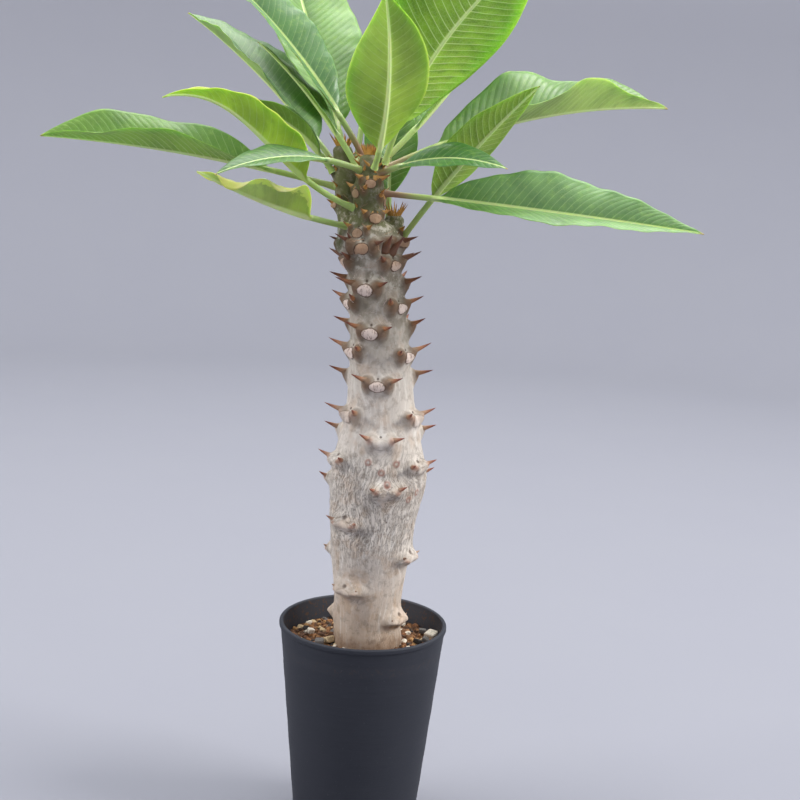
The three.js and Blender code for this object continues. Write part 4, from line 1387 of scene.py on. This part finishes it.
def leaf_finish(name, settings, glow):
    """Waxy leaf: paler veins and rib, a thin margin, a bright underside and a blushed stalk, with painted
    shade on leaves that lie under others.
    """
    make = Finish(name)
    under, youth, blush = make.parts(make.attribute("tone"))
    clear, pale, painted_shade = make.parts(make.attribute("look"))
    rim_share, rib_scale, _ = make.parts(make.attribute("edges"))
    lay = make.attribute("lay")
    phase, v, u = make.parts(make.attribute("vein"))
    width = make.math("ABSOLUTE", v)
    away = make.math("ABSOLUTE", make.parts(lay)[0])
    cloud = make.grain(lay, 0.07, 3)
    patch = make.grain(lay, 0.35, 3, 0.6)
    streak = make.grain(make.xyz(phase * 2.0, v * 3, under), 0.8, 3, 0.6)
    sunny = youth * youth * make.step(0.45, 1.0, u * 0.75 + width * 0.25)
    wander = phase + 0.16 * (make.grain(lay, 0.16, 2) - 0.5)
    from_vein = make.math("ABSOLUTE", make.math("FRACT", wander + 0.5) - 0.5)
    thick = 0.095 - 0.05 * width
    vein = make.step(thick * 0.3, thick, from_vein)
    vein = (1 - vein) * make.step(0.97, 0.86, width) * make.step(0.02, 0.1, u)
    fine = make.step(0.08, 0.02, make.net(lay, 0.7)) * make.step(0.0, 0.12, u)
    rib_width = rib_scale * (1.1 + 0.4 * under) * (1 - 0.6 * u)
    rib = 1 - make.step(rib_width * 0.6, rib_width, away)
    rib = make.math("MAXIMUM", rib * make.step(1.0, 0.96, u), make.step(0.04, -0.02, u))
    edge = 1 - rim_share * (0.5 + patch)
    margin = make.step(edge, edge + 0.06, width) * make.step(0.0, 0.05, u)
    shares = {
        "milky": pale * (0.35 + 0.65 * under) * (0.3 + 0.7 * make.step(0.05, 0.6, u)),
        # Painted shade, by each leaf's own share; it also dims the rib.
        "painted_shade": painted_shade * (0.75 + 0.5 * cloud),
        "cloud": make.step(0.62, 0.34, cloud) * 0.34,
        "fleck": make.step(0.5, 0.72, patch) * 0.2,
        "streak": make.step(0.5, 0.3, streak) * (0.12 + 0.18 * clear),
        "sun": sunny * (0.5 - 0.3 * under),
        "fine": fine * (0.05 + 0.1 * under) * clear,
        "vein": vein * (0.45 + 0.25 * under) * clear,
        "rib": rib * (0.82 - 0.35 * painted_shade),
        "rim": margin * (0.25 + 0.65 * youth),
        "stalk": make.step(0.04, -0.05, u) * 0.75,
        "blush": make.step(-0.1, -0.8, u) * blush * 0.85,
        "dry": make.step(0.975, 0.995, u) * (1 - youth),
    }
    upper = make.blend(tuple(settings.upper_old), tuple(settings.upper_young), youth)
    lower = make.blend(tuple(settings.under_old), tuple(settings.under_young), youth)
    vein_colour = make.blend(tuple(settings.vein), UPPER_VEIN, (1 - under) * 0.4)
    tones = {**LEAF_TONES, "milky": make.blend(*MILKY, under), "fine": vein_colour,
             "vein": vein_colour, "rib": tuple(settings.vein)}
    colour = make.coats(make.blend(upper, lower, under), tones, shares)
    height = 0.5 + 0.3 * (vein * (2 * under - 1) * clear) + 0.2 * make.grain(lay, 1.4, 3, 0.6) + 0.1 * fine
    return make.surface(Base_Color=colour, Roughness=0.42 + 0.1 * under + 0.16 * patch + 0.08 * youth,
                        Normal=make.bump(height, 0.2), Specular_IOR_Level=0.48,
                        Subsurface_Weight=glow, Subsurface_Radius=(0.6, 1.0, 0.2),
                        Subsurface_Scale=0.8 * MM, Coat_Roughness=0.3,
                        Coat_Weight=0.4 * (1 - under) * (1 - 0.6 * youth))


class PLANT_OT_add_leaves(bpy.types.Operator):
    """Grows every leaf with its stalk, rib, side veins and wavy margin"""

    bl_idname = "plant.add_leaves"
    bl_label = "Leaves"

    def execute(self, context):
        settings = context.scene.plant_leaves
        old = leaf_finish("leaf_old_wax", settings, 0.5)
        young = leaf_finish("leaf_young_wax", settings, 0.65)
        for number, leaf in enumerate(LEAVES, 1):
            top, bottom, stored = leaf_surface(leaf, number, settings)
            points, faces = leaf_shell(top, bottom)
            piece = mesh_object(f"blade_{number:02d}", points, faces)
            for name, values in stored.items():
                flat = values.reshape(-1, 3)
                set_attribute(piece, name, "FLOAT_VECTOR", np.concatenate([flat, flat]))
            half = len(points) // 2
            tone = np.tile((0, leaf["youth"], leaf["blush"]), (2 * half, 1)).astype(float)
            tone[half:, 0] = 1
            set_attribute(piece, "tone", "FLOAT_VECTOR", tone)
            look = (leaf["clear"], leaf.get("pale", 0), leaf.get("painted_shade", 0))
            set_attribute(piece, "look", "FLOAT_VECTOR", np.tile(look, (2 * half, 1)))
            edges = (leaf.get("rim", 0.02), leaf.get("rib", 1.0), 0)
            set_attribute(piece, "edges", "FLOAT_VECTOR", np.tile(edges, (2 * half, 1)))
            piece.data.shade_smooth()
            fresh = number in YOUNG_LEAVES
            slot = "leaf_young" if fresh else "leaf_old"
            finished(piece, young if fresh else old, slot, f"leaf_{number:02d}")
        return {"FINISHED"}


# Stage


def look_from(place, target, roll):
    """The turn and place of a camera that looks at a target, rolled by degrees."""
    back = (Vector(place) - Vector(target)).normalized()
    right = Vector((0, 0, 1)).cross(back).normalized()
    up = back.cross(right)
    angle = math.radians(roll)
    right, up = (right * math.cos(angle) + up * math.sin(angle),
                 up * math.cos(angle) - right * math.sin(angle))
    turn = Matrix((right, up, back)).transposed().to_4x4()
    return Matrix.Translation(Vector(place) * MM) @ turn


def add_camera():
    """The camera at the photograph's viewing angle."""
    data = bpy.data.cameras.new("view")
    data.lens = CAMERA["lens"]
    data.sensor_width = CAMERA["film"]
    data.clip_start = 0.01
    camera = bpy.data.objects.new("view", data)
    camera.matrix_world = look_from(CAMERA["place"], CAMERA["target"], CAMERA["roll"])
    bpy.context.scene.collection.objects.link(camera)
    bpy.context.scene.camera = camera


def add_light(name, place, target, size, power, colour=(1, 1, 1)):
    """A square soft light in metres, aimed at a target."""
    data = bpy.data.lights.new(name, "AREA")
    data.size = size
    data.energy = power
    data.color = colour
    light = bpy.data.objects.new(name, data)
    light.matrix_world = look_from(Vector(place) / MM, Vector(target) / MM, 0)
    bpy.context.scene.collection.objects.link(light)


def sweep_mesh():
    """A floor that turns up into a low round wall far from the plant."""
    reach, bend, top = 1300.0, 500.0, 1100.0
    radii = [0, 200, 500, 900, reach]
    section = [(r, 0) for r in radii]
    section += [(reach + bend * math.sin(a), bend - bend * math.cos(a))
                for a in np.radians(np.linspace(0, 90, 13)[1:])]
    section.append((reach + bend, top))
    sides = 96
    points = [(0, 0, 0)]
    for r, z in section[1:]:
        points += [(r * math.cos(a), r * math.sin(a), z)
                   for a in np.linspace(0, 2 * math.pi, sides, endpoint=False)]
    faces = [(0, 1 + j, 1 + (j + 1) % sides) for j in range(sides)]
    for i in range(len(section) - 2):
        for j in range(sides):
            a, b = 1 + i * sides + j, 1 + i * sides + (j + 1) % sides
            faces.append((a, a + sides, b + sides, b))
    return points, faces


def sweep_finish(settings):
    """Plain matte paper."""
    make = Finish("sweep_paper")
    cloud = make.grain(make.place, 0.01, 2)
    colour = make.blend(tuple(settings.floor), linear(136, 137, 145), cloud)
    return make.surface(Base_Color=colour, Roughness=0.9)


class PLANT_OT_add_stage(bpy.types.Operator):
    """Sets the plant on a plain pale floor in soft light, with the camera of the photograph"""

    bl_idname = "plant.add_stage"
    bl_label = "Stage"

    def execute(self, context):
        settings = context.scene.plant_stage
        floor = mesh_object("sweep", *sweep_mesh())
        floor.data.shade_smooth()
        floor.data.materials.append(sweep_finish(settings))
        floor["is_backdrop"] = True
        power = {"key": settings.key, "fill": settings.fill, "top": settings.key * TOP_SHARE}
        for name, place, size, colour in LIGHTS:
            add_light(name, place, LIT_SPOT, size, power[name], colour)
        world = bpy.data.worlds.new("soft_sky")
        world.use_nodes = True
        background = world.node_tree.nodes["Background"]
        background.inputs["Color"].default_value = SKY_COLOUR
        background.inputs["Strength"].default_value = settings.sky
        context.scene.world = world
        context.scene.view_settings.view_transform = "Standard"
        add_camera()
        return {"FINISHED"}


class PLANT_PT_build(bpy.types.Panel):
    """The steps that build the plant, with their sizes and colours"""

    bl_idname = "PLANT_PT_build"
    bl_label = "Potted Pachypodium"
    bl_space_type = "VIEW_3D"
    bl_region_type = "UI"
    bl_category = "Plant"

    def draw(self, context):
        for operator, group in STEPS:
            box = self.layout.box()
            box.operator(operator.bl_idname)
            settings = getattr(context.scene, group)
            for name in settings.__annotations__:
                box.prop(settings, name)


GROUPS = {
    "plant_pot": PotSettings, "plant_grit": GritSettings, "plant_bark": BarkSettings,
    "plant_spines": SpineSettings, "plant_leaves": LeafSettings, "plant_stage": StageSettings,
}
STEPS = [
    (PLANT_OT_add_stage, "plant_stage"), (PLANT_OT_add_pot, "plant_pot"), (PLANT_OT_add_grit, "plant_grit"),
    (PLANT_OT_add_bark, "plant_bark"), (PLANT_OT_add_spines, "plant_spines"),
    (PLANT_OT_add_leaves, "plant_leaves"),
]


def register():
    """Makes the settings, operators and panel known to Blender."""
    for name, group in GROUPS.items():
        bpy.utils.register_class(group)
        setattr(bpy.types.Scene, name, PointerProperty(type=group))
    for operator, _ in STEPS:
        bpy.utils.register_class(operator)
    bpy.utils.register_class(PLANT_PT_build)


def unregister():
    """Takes them away again."""
    bpy.utils.unregister_class(PLANT_PT_build)
    for operator, _ in reversed(STEPS):
        bpy.utils.unregister_class(operator)
    for name, group in GROUPS.items():
        delattr(bpy.types.Scene, name)
        bpy.utils.unregister_class(group)


def main():
    """Builds every piece."""
    register()
    bpy.ops.plant.add_stage()
    bpy.ops.plant.add_pot()
    bpy.ops.plant.add_grit()
    bpy.ops.plant.add_bark()
    bpy.ops.plant.add_spines()
    bpy.ops.plant.add_leaves()
    boxes = {"cad": CAD_BOX, "visual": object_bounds()}
    {name: [list(corner) for corner in box] for name, box in boxes.items()}


if __name__ == "__main__":
    main()
